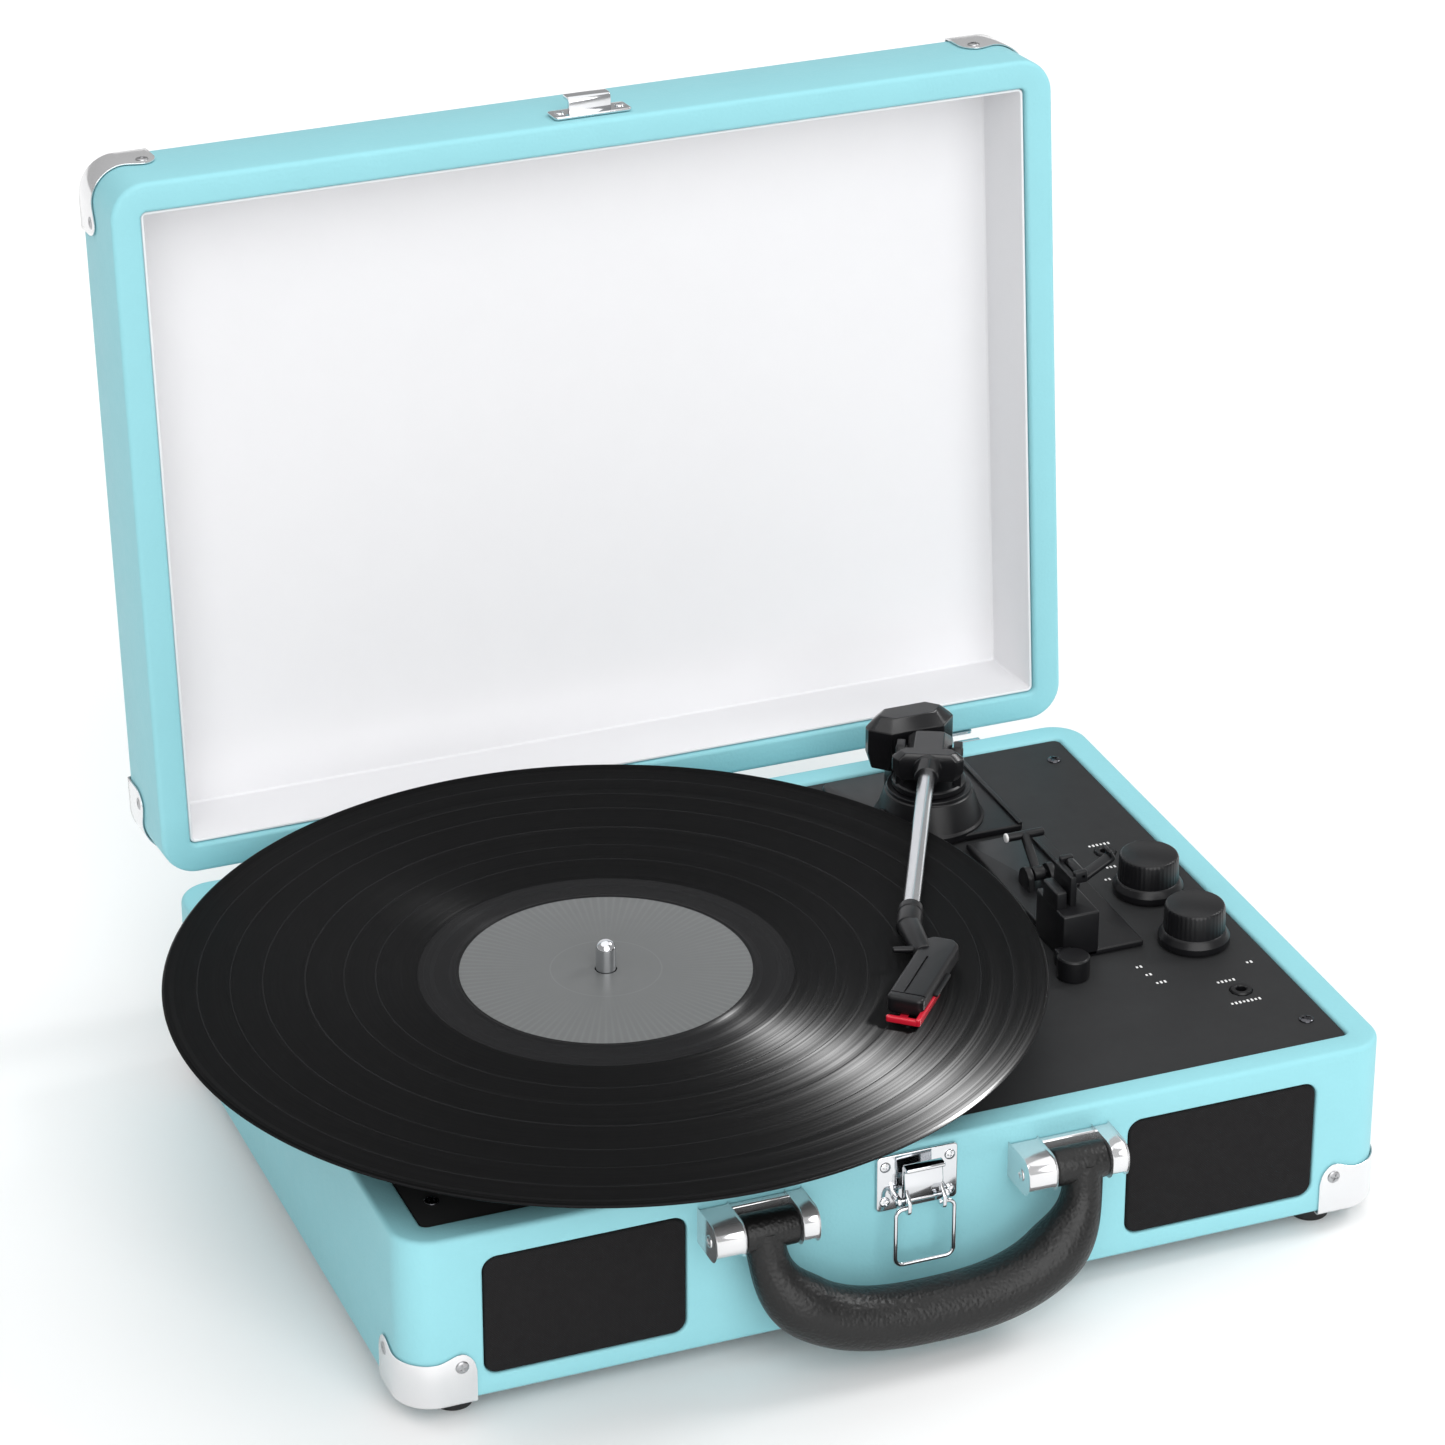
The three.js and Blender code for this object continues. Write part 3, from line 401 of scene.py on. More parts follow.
class Paint:
    """A Principled material and what feeds it."""

    def __init__(self, name, colour, roughness, metallic=0.0, **values):
        self.material = bpy.data.materials.new(name)
        self.material.use_nodes = True
        self.tree = self.material.node_tree
        self.shader = self.tree.nodes["Principled BSDF"]
        self.colour = (*colour, 1)
        self.shader.inputs["Base Color"].default_value = self.colour
        self.shader.inputs["Roughness"].default_value = roughness
        self.shader.inputs["Metallic"].default_value = metallic
        for socket, value in values.items():
            self.shader.inputs[socket.replace("_", " ")].default_value = value
        self.place = self.node("ShaderNodeTexCoord").outputs["Object"]
        self.normal = None

    def node(self, kind, inputs=(), **settings):
        """A node with its settings, and a value or an output for each of the inputs."""
        step = self.tree.nodes.new(kind)
        for key, value in settings.items():
            setattr(step, key, value)
        for key, value in dict(inputs).items():
            if isinstance(value, bpy.types.NodeSocket):
                self.join(value, step.inputs[key])
            else:
                step.inputs[key].default_value = value
        return step

    def join(self, output, socket):
        self.tree.links.new(output, socket)

    def maths(self, operation, first, second=0.0):
        return self.node("ShaderNodeMath", {0: first, 1: second}, operation=operation).outputs[0]

    def near(self, value, middle, reach):
        """1 where the value is within reach of the middle, 0 elsewhere."""
        inputs = {0: value, 1: middle, 2: reach}
        return self.node("ShaderNodeMath", inputs, operation="COMPARE").outputs[0]

    def noise(self, scale, detail=2.0, place=None, socket="Vector", **settings):
        """Noise by the place on the object, or by what is given to a socket instead."""
        inputs = {"Scale": scale, "Detail": detail, socket: place or self.place}
        return self.node("ShaderNodeTexNoise", inputs, **settings).outputs["Fac"]

    def cells(self, scale):
        inputs = {"Scale": scale, "Vector": self.place}
        return self.node("ShaderNodeTexVoronoi", inputs, feature="SMOOTH_F1").outputs["Distance"]

    def spread(self, value, low=0.0, high=1.0, start=0.0, end=1.0, **settings):
        """Maps start to end onto low to high."""
        inputs = {"From Min": start, "From Max": end, "To Min": low, "To Max": high, "Value": value}
        return self.node("ShaderNodeMapRange", inputs, **settings).outputs[0]

    def bump(self, height, distance, strength):
        """Relief of that many millimetres, over what was there before."""
        inputs = {"Strength": strength, "Distance": distance * MM, "Height": height}
        if self.normal:
            inputs["Normal"] = self.normal
        self.normal = self.node("ShaderNodeBump", inputs).outputs["Normal"]
        self.join(self.normal, self.shader.inputs["Normal"])

    def shade(self, value, dark, light):
        """Base colour between two shares of the colour, by a value from 0 to 1."""
        step = self.node("ShaderNodeMix", data_type="RGBA")
        colours = [s for s in step.inputs if s.type == "RGBA"]
        for socket, share in zip(colours, (dark, light)):
            socket.default_value = (*[min(1, c * share) for c in self.colour[:3]], 1)
        self.join(value, step.inputs[0])
        mixed = next(s for s in step.outputs if s.type == "RGBA")
        self.join(mixed, self.shader.inputs["Base Color"])

    def polish(self, scale, low, high):
        """Roughness that wanders between two values."""
        self.join(self.spread(self.noise(scale, 4), low, high), self.shader.inputs["Roughness"])


def leatherette():
    paint = Paint("leatherette", (0.265, 0.575, 0.63), 0.5, Specular_IOR_Level=0.25)
    paint.bump(paint.cells(900), 0.10, 0.7)
    paint.bump(paint.noise(3500, 3), 0.03, 0.6)
    paint.shade(paint.noise(40, 3), 0.97, 1.03)
    paint.polish(200, 0.42, 0.56)
    return paint.material


def grained(name, colour, roughness, grain_size, relief, wander=0.1, **values):
    """Moulded plastic, rubber, paper and the like: a fine grain of a size and relief in mm."""
    paint = Paint(name, colour, roughness, **values)
    paint.bump(paint.noise(1 / (grain_size * MM), 3), relief, 0.8)
    paint.shade(paint.noise(60, 4), 1 - wander, 1 + wander)
    paint.polish(150, roughness * 0.85, min(1, roughness * 1.15))
    return paint.material


def grip_skin():
    """Padded leather with raised pebbles that catch the light."""
    paint = Paint("grip_skin", (0.0055, 0.0055, 0.0055), 0.4, Specular_IOR_Level=0.4)
    paint.bump(paint.cells(800), 0.22, 1.0)
    paint.bump(paint.noise(1800, 3), 0.08, 0.8)
    paint.shade(paint.noise(90, 3), 0.8, 1.2)
    paint.polish(500, 0.3, 0.5)
    return paint.material


def polished(name, colour, low, high, ripple, metallic=1.0):
    """Plated metal with faint ripples and smudges."""
    paint = Paint(name, colour, low, metallic)
    paint.bump(paint.noise(90, 2), ripple, 0.5)
    paint.shade(paint.noise(25, 3), 0.94, 1.0)
    paint.polish(130, low, high)
    return paint.material


def brushed(name, colour):
    """Metal with fine lines round its upright axis."""
    paint = Paint(name, colour, 0.3, metallic=1.0)
    stretch = paint.node("ShaderNodeMapping", {"Scale": (60, 60, 4000), "Vector": paint.place})
    lines = paint.noise(1, 2, stretch.outputs["Vector"])
    paint.bump(lines, 0.02, 0.6)
    paint.shade(lines, 0.85, 1.05)
    paint.polish(200, 0.25, 0.4)
    return paint.material


def cloth(name, colour, pitch):
    """A plain weave in X and Z."""
    paint = Paint(name, colour, 0.85, Specular_IOR_Level=0.2)
    axes = paint.node("ShaderNodeSeparateXYZ", {0: paint.place})
    waves = [
        paint.maths("SINE", paint.maths("MULTIPLY", axes.outputs[axis], 2 * pi / (pitch * MM)))
        for axis in ("X", "Z")
    ]
    weave = paint.spread(paint.maths("MULTIPLY", *waves), 0.5, 1.0)
    paint.bump(weave, 0.15, 1.0)
    paint.bump(paint.noise(4000, 2), 0.04, 0.7)
    paint.shade(weave, 0.5, 1.5)
    paint.polish(300, 0.75, 0.95)
    return paint.material


def from_spindle(paint):
    """Radius and angle about the spindle."""
    spot = TO_FRAME @ Vector((SPINDLE["x"], SPINDLE["y"], 0))
    centre = paint.node("ShaderNodeVectorMath", {0: paint.place, 1: spot}, operation="SUBTRACT")
    axes = paint.node("ShaderNodeSeparateXYZ", {0: centre.outputs[0]})
    squares = [paint.maths("POWER", axes.outputs[axis], 2) for axis in ("X", "Y")]
    radius = paint.maths("SQRT", paint.maths("ADD", *squares))
    angle = paint.maths("ARCTAN2", axes.outputs["Y"], axes.outputs["X"])
    return radius, angle


def rings_noise(paint, radius, per_metre, detail):
    """Noise that changes only with the radius."""
    return paint.noise(per_metre, detail, radius, "W", noise_dimensions="1D")


def track_gaps(paint, radius):
    """1 on the narrow smooth bands between tracks, which lie at uneven distances."""
    sway = paint.maths("MULTIPLY", rings_noise(paint, radius, 30, 0), 9 * MM)
    share = paint.maths("FRACT", paint.maths("DIVIDE", paint.maths("ADD", radius, sway), 12.5 * MM))
    return paint.near(share, 0.5, 0.018)


def vinyl():
    """Pressed grooves: fine circles, smooth bands between tracks, and a smooth run-out."""
    paint = Paint("vinyl", (0.0022, 0.0022, 0.0023), 0.45, Anisotropic=0.92, IOR=1.1)
    paint.shader.inputs["Anisotropic Rotation"].default_value = 0.25
    radius = from_spindle(paint)[0]
    start, end = around(RECORD["dead_wax"], 0.6)
    pressed = paint.spread(radius, start=start * MM, end=end * MM, interpolation_type="SMOOTHSTEP")
    smooth = paint.maths("MAXIMUM", paint.maths("SUBTRACT", 1.0, pressed), track_gaps(paint, radius))
    grooves = rings_noise(paint, radius, 2500, 3)
    bands = rings_noise(paint, radius, 260, 2)
    paint.bump(paint.maths("MULTIPLY", grooves, paint.spread(smooth, 1.0, 0.2)), 0.05, 0.5)
    paint.bump(bands, 0.15, 0.35)
    # Base colour: faint random bands of the record's own tone, about three times lighter on the smooth
    # bands between tracks and on the run-out, which is painted sheen
    bands_and_painted_sheen = paint.maths("ADD", paint.spread(bands, 0.1, 0.35), paint.maths("MULTIPLY", smooth, 0.65))
    paint.shade(bands_and_painted_sheen, 0.4, 6.0)
    fine = rings_noise(paint, radius, 1100, 2)
    rough = paint.spread(paint.maths("MULTIPLY", bands, fine), 0.24, 0.74)
    rough = paint.maths("MULTIPLY", rough, paint.spread(smooth, 1.0, 0.7))
    paint.join(rough, paint.shader.inputs["Roughness"])
    circles = paint.node("ShaderNodeTangent", direction_type="RADIAL", axis="Z")
    paint.join(circles.outputs[0], paint.shader.inputs["Tangent"])
    return paint.material


def label_paper():
    """Grey paper printed with fine rays and an inner ring."""
    paint = Paint("label_paper", (0.11, 0.115, 0.115), 0.45)
    radius, angle = from_spindle(paint)
    rays = paint.maths("SINE", paint.maths("MULTIPLY", angle, 110))
    fade = paint.spread(radius, start=18 * MM, end=48 * MM)
    ink = paint.maths("MULTIPLY", paint.spread(rays), fade)
    ring = paint.near(radius, 19 * MM, 0.25 * MM)
    paint.shade(paint.maths("MAXIMUM", ink, ring), 0.94, 1.12)
    paint.bump(paint.noise(3000, 3), 0.02, 0.5)
    paint.polish(200, 0.38, 0.5)
    return paint.material


TURQUOISE = leatherette()
LINING = grained("lining", (0.755, 0.755, 0.77), 0.62, 0.5, 0.02, 0.012)
DECK = grained("deck_plastic", (0.026, 0.0265, 0.0275), 0.5, 0.35, 0.03, Specular_IOR_Level=0.15)
BLACK = grained("black_plastic", (0.006, 0.006, 0.007), 0.34, 0.25, 0.012, Specular_IOR_Level=0.35)
GLOSS_BLACK = grained("gloss_black_plastic", (0.008, 0.008, 0.009), 0.2, 0.6, 0.006)
RUBBER = grained("rubber", (0.012, 0.012, 0.012), 0.75, 0.4, 0.05)
GRIP_SKIN = grip_skin()
CHROME = polished("chrome", (0.74, 0.75, 0.77), 0.05, 0.13, 0.05)
PLATED = polished("plated_sheet", (0.78, 0.78, 0.79), 0.08, 0.18, 0.05, metallic=0.75)
SATIN = polished("satin_metal", (0.72, 0.73, 0.75), 0.16, 0.28, 0.02)
STEEL = brushed("steel", (0.45, 0.45, 0.46))
DARK_STEEL = polished("dark_steel", (0.10, 0.10, 0.11), 0.12, 0.22, 0.02)
CLOTH = cloth("grille_cloth", (0.008, 0.0075, 0.008), 0.9)
CONE = grained("paper_cone", (0.03, 0.03, 0.03), 0.85, 0.6, 0.08)
BOARD = grained("circuit_board", (0.02, 0.10, 0.04), 0.45, 1.2, 0.03)
VINYL = vinyl()
LABEL = label_paper()
RED = grained("red_plastic", (0.55, 0.012, 0.03), 0.22, 0.8, 0.01, Coat_Weight=0.4)
# White for the printed marks on the deck, and for the painted glint on the cue lever's tip
PRINT_AND_PAINTED_GLINT = grained("white_print_and_painted_glint", (0.75, 0.75, 0.75), 0.6, 0.2, 0.01)
SOCKET_RED = grained("socket_red", (0.5, 0.02, 0.02), 0.35, 0.4, 0.01)
SOCKET_WHITE = grained("socket_white", (0.75, 0.75, 0.73), 0.35, 0.4, 0.01)

# ---- case


def flared(outline, low, high, edge):
    """A cutter whose top end widens, so that the hole it cuts has a rounded mouth."""
    rings = [level(outline, low), level(outline, high - edge)]
    for sine, cosine in quarter(4, 1):
        rings.append(level(inset(outline, -edge * (1 - cosine)), high - edge + edge * sine))
    rings.append(level(inset(outline, -edge), high + 3))
    return skin(rings)


def window(side, place, slack=0.0):
    """The outline of an opening in the case, or of a panel that fits in it with some slack."""
    x, z, width, height, radius = place.values()
    width, height = width - 2 * slack, height - 2 * slack
    return rectangle(around(side * x, width), around(z, height), radius - slack, 8)


def base_frame():
    wall = -CASE["wall"]
    corners = [(wall, FOOT_HEIGHT, 0.5), (0, FOOT_HEIGHT, 2.2), (0, RIM, 1.9), (wall, RIM, 1.4)]
    ring = hoop(soften(corners, 1), closed=True)
    cutters = []
    for side in SIDES.values():
        cutters.append(flared(window(side, GRILLE), -FRONT_Y - CUT, -FRONT_Y, 1.0).moved(FRONT))
    cutters.append(flared(window(-1, REAR_PANEL), BACK_Y - CUT, BACK_Y, 0.8).moved(BEHIND))
    stand_in("base_frame", "covered", carved(ring, *cutters), TURQUOISE, "base")


def lid_shell():
    wall, inside = -CASE["wall"], LID["top"] - LID["panel"]
    bottom, top = LID["bottom"], LID["top"]
    corners = [(wall, inside, 0), (wall, bottom, 1.4), (0, bottom, 1.9), (0, top, 2.4)]
    corners.append((-CASE["radius"] + 0.5, top, 0))
    shape = hoop(soften(corners, 1, closed=False))
    stand_in("lid_shell", "covered", shape.moved(OPEN_LID), TURQUOISE, "lid")


def lid_lining():
    """A thin tray with a turned-over rim and a shallow step round its floor."""
    out = -CASE["wall"] - GAP
    ceiling = LID["top"] - LID["panel"] - GAP
    rim = LID["bottom"] + 2
    corners = [(out - 0.3, ceiling, 0), (out, ceiling - 1, 0.6), (out, rim, 0.4), (out - 1, rim, 0.4)]
    corners += [(out - 1, ceiling - 1.6, 1.2), (out - 1.8, ceiling - 1.0, 0)]
    shape = hoop(soften(corners, 1, closed=False))
    stand_in("lid_lining", "tray", shape.moved(OPEN_LID), LINING, "lid")


def cap_height(distance):
    """Top edge of a corner cap by the distance along the case from the corner's middle: lowest
    there, then a lobe with a rounded end."""
    radius = CAP["end"]
    height = 16.4 + 2.6 * exp(-(((distance - CAP["lobe"]) / radius) ** 2))
    end = CASE["radius"] * pi / 4 + CAP["reach"] - CASE["radius"]
    over = max(0.0, distance - (end - radius))
    return height - (radius - sqrt(max(0.0, radius**2 - over**2)))


def corner_cap(side, end, lip):
    """Pressed sheet over a case corner standing on z = 0, folded under it by a lip that narrows
    towards both ends."""
    radius, reach = CASE["radius"], CAP["reach"]
    arc = radius * pi / 2
    straight = reach - radius
    corner = Vector((CASE["width"] / 2 - radius, CASE["depth"] / 2 - radius, 0))
    rings = []
    steps = 64
    for k in range(steps + 1):
        s = -straight + (arc + 2 * straight) * k / steps
        angle = pi / 2 * min(1, max(0, s / arc))
        normal = Vector((cos(angle), sin(angle), 0))
        along = Vector((0, min(0, s), 0)) + Vector((-max(0, s - arc), 0, 0))
        spot = corner + along + normal * radius
        height = cap_height(abs(s - arc / 2))
        past = max(0, -s, s - arc) / (straight + 1)
        fold = lip * sqrt(1 - past * past)
        outer, inner = GAP + CAP["thickness"], GAP
        section = [(inner, height - 0.3, 0.2), (outer, height, 0.5), (outer, -outer, 1.5)]
        section += [(-fold, -outer, 0.2), (-fold, -inner, 0.1), (inner, -inner, 1.0)]
        ring = soften(section, 0.3, steps=3)
        rings.append([spot + normal * p.x + Vector((0, 0, p.y)) for p in ring])
    return skin(rings).moved(Matrix.Diagonal((side, end, 1, 1)))


def cap_screws(side, end):
    """A screw in each lobe of a corner cap: a domed one on the long face, a flatter one beside it."""
    inward = CAP["lobe"] - CASE["radius"] * pi / 4 + CASE["radius"]
    seat = GAP + CAP["thickness"] - 0.1
    x, y, z = CASE["width"] / 2, CASE["depth"] / 2, CAP["screw"]
    long_face = move(x - inward, y + seat, z) @ turn(-90, "X")
    short_face = move(x + seat, y - inward, z) @ turn(90, "Y")
    pair = screw(2.3, 0.9).moved(long_face @ turn(20, "Z"))
    pair += screw(2.3, 0.45).moved(short_face @ turn(50, "Z"))
    return pair.moved(Matrix.Diagonal((side, end, 1, 1)))


def corner_caps():
    low_place = move(0, 0, FOOT_HEIGHT)
    high_place = OPEN_LID @ move(0, 0, LID["top"]) @ Matrix.Diagonal((1, 1, -1, 1))
    low_screws, high_screws = Shape(), Shape()
    for where, side, end in CORNERS:
        low = corner_cap(side, end, CAP["lip"]).moved(low_place)
        stand_in(f"base_corner_{where}", "cap", low, PLATED, "base")
        high = corner_cap(side, end, CASE["radius"] - 0.6).moved(high_place)
        stand_in(f"lid_corner_{where}", "cap", high, PLATED, "lid")
        low_screws += cap_screws(side, end).moved(low_place)
        high_screws += cap_screws(side, end).moved(high_place)
    piece("base_cap_screws", low_screws, STEEL, "base")
    piece("lid_cap_screws", high_screws, STEEL, "lid")


def feet():
    """Round moulded feet with a hollow under the middle."""
    foot = lathe([(0, 1.4), (2.6, 1.4), (3.4, 0), (6.6, 0), (7.3, 5.8), (7.5, 7.7), (0, 7.7)], 64, 0.5)
    for where, side, end in CORNERS:
        shape = foot.at(side * FOOT["x"], end * FOOT["y"])
        stand_in(f"foot_{where}", "moulded", shape, RUBBER, "base")


def grilles():
    """Stretched cloth on a board, with its edges pulled round."""
    for name, side in SIDES.items():
        shape = on_front(window(side, GRILLE, GAP), -3, -0.2, 1.1, 6)
        stand_in(f"speaker_grille_{name}", "cloth", shape, CLOTH, "base")


# ---- front and back fittings


def handle_brackets():
    """A chromed channel for each end of the handle: two round-nosed ears and the strip between."""
    nose, y, z = BRACKET["nose"], HANDLE["y"], HANDLE["z"]
    wall = FRONT_Y - GAP
    for name, side in SIDES.items():
        loop = side * HANDLE["loop"]
        centre = loop + BRACKET["offset"]
        x0, x1 = around(centre, BRACKET["width"])
        gap0, gap1 = around(loop, BRACKET["notch"])
        low, high = around(z, 2 * nose)
        profile = [(wall, low, 0.5), (wall, high, 0.5), (y - nose, high, 4.6), (y - nose, low, 4.6)]
        ear = soften(profile, 1, steps=8)[::-1]
        back = rectangle((FRONT_Y - 3.2, wall), (low, high), 0.8)
        shape = sideways(ear, (x0, gap0), 0.9) + sideways(ear, (gap1, x1), 0.9)
        shape += sideways(back, (gap0 - 1, gap1 + 1), 0.2)
        shape += bar((gap0 - 1, gap1 + 1), y, z, 2)
        head = screw(2.2, 0.8).moved(turn(90, "Y"))
        shape += head.moved(move(x1 - 0.2, y, z))
        shape += head.moved(move(x0 + 0.2, y, z) @ turn(180, "Z"))
        stand_in(f"handle_bracket_{name}", "channel", shape, PLATED, "base")


def grip_point(angle):
    power = 2 / GRIP["power"]
    across = copysign(abs(cos(angle)) ** power, cos(angle))
    return Vector((-GRIP["spread"] * across, 0, -GRIP["reach"] * sin(angle) ** power))


def handle():
    """The padded grip: slim legs that swell into the hand hold, on a loop round each pin."""
    count = 160
    path, radii = [], []
    for k in range(count + 1):
        share = k / count
        path.append(grip_point(pi * share))
        near = min(share, 1 - share)
        blend = min(1, max(0, (near - 0.04) / 0.2))
        swell = blend * blend * (3 - 2 * blend)
        radii.append(GRIP["ends"] + (GRIP["middle"] - GRIP["ends"]) * swell)
    shape = sweep(path, radii, 48)
    reach = BRACKET["notch"] / 2 - GAP
    for side in SIDES.values():
        centre = side * HANDLE["loop"]
        shape += bar((centre - reach, centre + reach), 0, 0, 6.5, 1.4, 48)
    stand_in("handle", "grip", shape.moved(ON_HANDLE), GRIP_SKIN, "handle")


def latch():
    half = LATCH["width"] / 2
    backing = rectangle((-half, half), (47.5, 68.5), 1.5, 6)
    shape = on_front(backing, GAP, SHEET)
    for x in (-9.3, 7.9):
        shape += bar((x, x + 1.4), LATCH["y"], LATCH["z"], 2)
        shape += block((x, x + 1.4), (LATCH["y"], FRONT_Y - 1), (52, 55), 0.3)
    seat = FRONT_Y - SEAT
    spots = [(x, seat, z, angle) for x in (-11.6, 11.6) for z, angle in ((51, 30), (64.5, 75))]
    shape = with_screws(shape, screw(1.9, 0.8), FRONT, spots)
    stand_in("latch_plate", "pressed", shape.at(LATCH["x"]), CHROME, "base")


def latch_lever():
    """A bowed tab with a rolled tip and two flanges on the pin."""
    profile = [(0.8, -1, 0.4), (0.8, 12.4, 1.5), (0.2, 13.6, 0.5), (-3.4, 13.6, 0.9)]
    profile += [(-3.4, 11.8, 0.8), (-1.0, 11.8, 1.4), (-1.9, 6, 6), (-0.6, -1, 0.4)]
    tab = soften(profile, 0.4, steps=5)
    shape = sideways(tab, (-7, 7), 0.5)
    flange = soften([(-5, -3.5, 1.6), (0.8, -3.5, 1.6), (0.8, 5, 1), (-1.5, 5, 1), (-5, 1.5, 1.6)], 1)
    for x in (-7, 5.6):
        shape += sideways(flange, (x, x + 1.4), 0.3)
    shape += bar((-9.6, 9.6), 0, 0, 1)
    stand_in("latch_lever", "pressed", shape.moved(ON_LATCH), CHROME, "latch_lever")


def latch_bail():
    half = BAIL["width"] / 2
    corners = [(-5, 0), (-half, 0), (-half, -BAIL["drop"]), (half, -BAIL["drop"]), (half, 0), (5, 0)]
    shape = wire(corners, BAIL["wire"], 3.0).at(0, BAIL["y"], BAIL["z"])
    stand_in("latch_bail", "wire", shape.moved(ON_LATCH), CHROME, "latch_bail")


def lid_catch():
    plate = rectangle((-14.5, 14.5), (76, 86), 1.5, 6)
    shape = on_front(plate, GAP, SHEET)
    back, lip, front = FRONT_Y - 1, FRONT_Y - 5.4, FRONT_Y - 7
    hook = [(back, 80, 0), (back, 81.6, 0.8), (lip, 81.6, 0.8), (lip, 86, 0.5), (front, 86, 0.5)]
    hook.append((front, 80, 1.8))
    shape += sideways(soften(hook, 0.5), (-8, 8), 0.3)
    spots = [(x, FRONT_Y - SEAT, 81, 40) for x in (-11.3, 11.3)]
    shape = with_screws(shape, screw(1.8, 0.8), FRONT, spots)
    stand_in("lid_catch", "pressed", shape.at(LATCH["x"]).moved(OPEN_LID), CHROME, "lid")


def hinge_leaf(x, low, high, middle_height):
    leaf = rectangle(around(-x, HINGE["width"]), (low, high), 1.5, 6)
    shape = slab(leaf, BACK_Y + GAP, BACK_Y + SHEET, 0.35).moved(BEHIND)
    spots = [
        (x + offset, BACK_Y + SEAT, middle_height + rise, 30 + offset * 4)
        for offset, rise in ((-11, 0), (0, -4), (11, 0))
    ]
    return with_screws(shape, screw(2.0, 0.8), BEHIND, spots)


def hinges():
    y, z, radius, x, width = HINGE.values()
    third = width / 3
    for name, side in SIDES.items():
        start = side * x - width / 2
        base = hinge_leaf(side * x, 46, z - 1, 55)
        for ends in ((start, start + third - GAP), (start + 2 * third + GAP, start + 3 * third)):
            base += bar(ends, y, z, radius, 0.4)
            base += block(ends, (BACK_Y + GAP, y), (z - 2.6, z - 1.2), 0.2)
        base += bar((start + 1, start + width - 1), y, z, 1)
        stand_in(f"hinge_base_{name}", "leaf", base, CHROME, "base")
        lid = hinge_leaf(side * x, LID["bottom"] + 0.5, 88, 82)
        ends = (start + third, start + 2 * third)
        lid += bar(ends, y, z, radius, 0.4)
        lid += block(ends, (BACK_Y + GAP, BACK_Y + SHEET), (z, LID["bottom"] + 1), 0.2)
        stand_in(f"hinge_lid_{name}", "leaf", lid.moved(OPEN_LID), CHROME, "lid")


def rear_jacks():
    """Recessed panel with two phono sockets and a power socket."""
    y0 = BACK_Y - CASE["wall"] + 0.5
    x, z, top = REAR_PANEL["x"], REAR_PANEL["z"], CASE["wall"] - 2
    shape = slab(window(-1, REAR_PANEL, GAP), y0, y0 + 2, 0.4).moved(BEHIND)
    ring = [(3.4, 2), (4.6, 2), (4.6, 3), (6, 3), (6, top), (3.4, top)]
    power = lathe(ring, 48, 0.3, closed=True)
    shape += power.moved(move(x + 18, y0, z) @ BEHIND)
    shape += rod((x + 18, y0 + 1, z), (x + 18, y0 + 6, z), 1)
    stand_in("rear_jack_panel", "plate", shape, BLACK, "base")
    ring = [(1.6, 1), (4.2, 1), (4.2, top), (1.6, top)]
    socket = lathe(ring, 48, 0.4, closed=True)
    for offset, colour, name in ((-24, SOCKET_RED, "right"), (-8, SOCKET_WHITE, "left")):
        spot = move(x + offset, y0, z) @ BEHIND
        piece(f"phono_socket_{name}", socket.moved(spot), colour, "base")


# ---- turntable


def spun(name, profile, material, node, sides=192, edge=0.3, closed=True):
    shape = lathe(profile, sides, edge, closed).moved(ON_SPINDLE)
    piece(name, shape, material, "platter", node, sharp=40)


def platter():
    hole, radius, top = SPINDLE["radius"] + GAP, PLATTER["radius"], PLATTER["top"]
    rim = PLATTER["drive_rim"]
    under, bottom = top - 3, PLATTER["bottom"]
    profile = [(hole, 74), (9, 74), (9, under), (rim - 4, under), (rim - 4, 76), (rim, 76), (rim, under)]
    profile += [(radius - 3, under), (radius - 3, bottom), (radius, bottom), (radius, 79)]
    profile += [(radius - 0.6, 79.5), (radius - 0.6, 81.5), (radius, 82), (radius, top), (hole, top)]
    spun("platter.turned", profile, BLACK, ["platter"])
    low = top + GAP
    mat = [(hole, low), (radius - 2, low), (radius - 2, MAT_TOP), (radius - 6, MAT_TOP)]
    for step in range(9):
        outer = radius - 7 - step * 8
        mat += [(outer, MAT_TOP - 0.5), (outer - 1, MAT_TOP - 0.5), (outer - 2, MAT_TOP)]
    mat.append((hole, MAT_TOP))
    spun("slip_mat.ribbed", mat, RUBBER, ["slip_mat"], edge=0.2)


def vinyl_record():
    hole = SPINDLE["radius"] + GAP
    low, top, radius = MAT_TOP + GAP, RECORD["top"], RECORD["radius"]
    wax, label = RECORD["dead_wax"], RECORD["label"]
    profile = [(hole, low), (label, low), (radius - 3, low + 0.1), (radius - 1.2, low)]
    profile += [(radius, (low + top) / 2), (radius - 1.2, top), (radius - 2.6, top - 0.05)]
    profile += [(radius - 4.2, top - 0.3), (wax + 0.5, top - 0.3), (wax - 0.5, top - 0.36)]
    profile += [(label + 2.5, top - 0.36), (label + 1.2, top - 0.1), (label + 0.5, top - 0.2)]
    profile.append((hole, top - 0.2))
    spun("vinyl_record.pressed", profile, VINYL, ["vinyl_record"], sides=288, edge=0.25)
    paper = [(hole, top - 0.25), (label, top - 0.25), (label, top - 0.1), (hole, top - 0.1)]
    spun("record_label", paper, LABEL, (), edge=0.04)


def spindle():
    radius, top, tip = SPINDLE["radius"], SPINDLE["top"], 3.4
    profile = [(0, 40), (2.5, 40), (2.5, 73), (radius, 74), (radius, top - tip)]
    profile += [(radius * cosine, top - tip + tip * sine) for sine, cosine in quarter(8, 1)]
    spun("spindle.turned", profile, CHROME, ["spindle"], sides=48, edge=0.0, closed=False)


# ---- tonearm


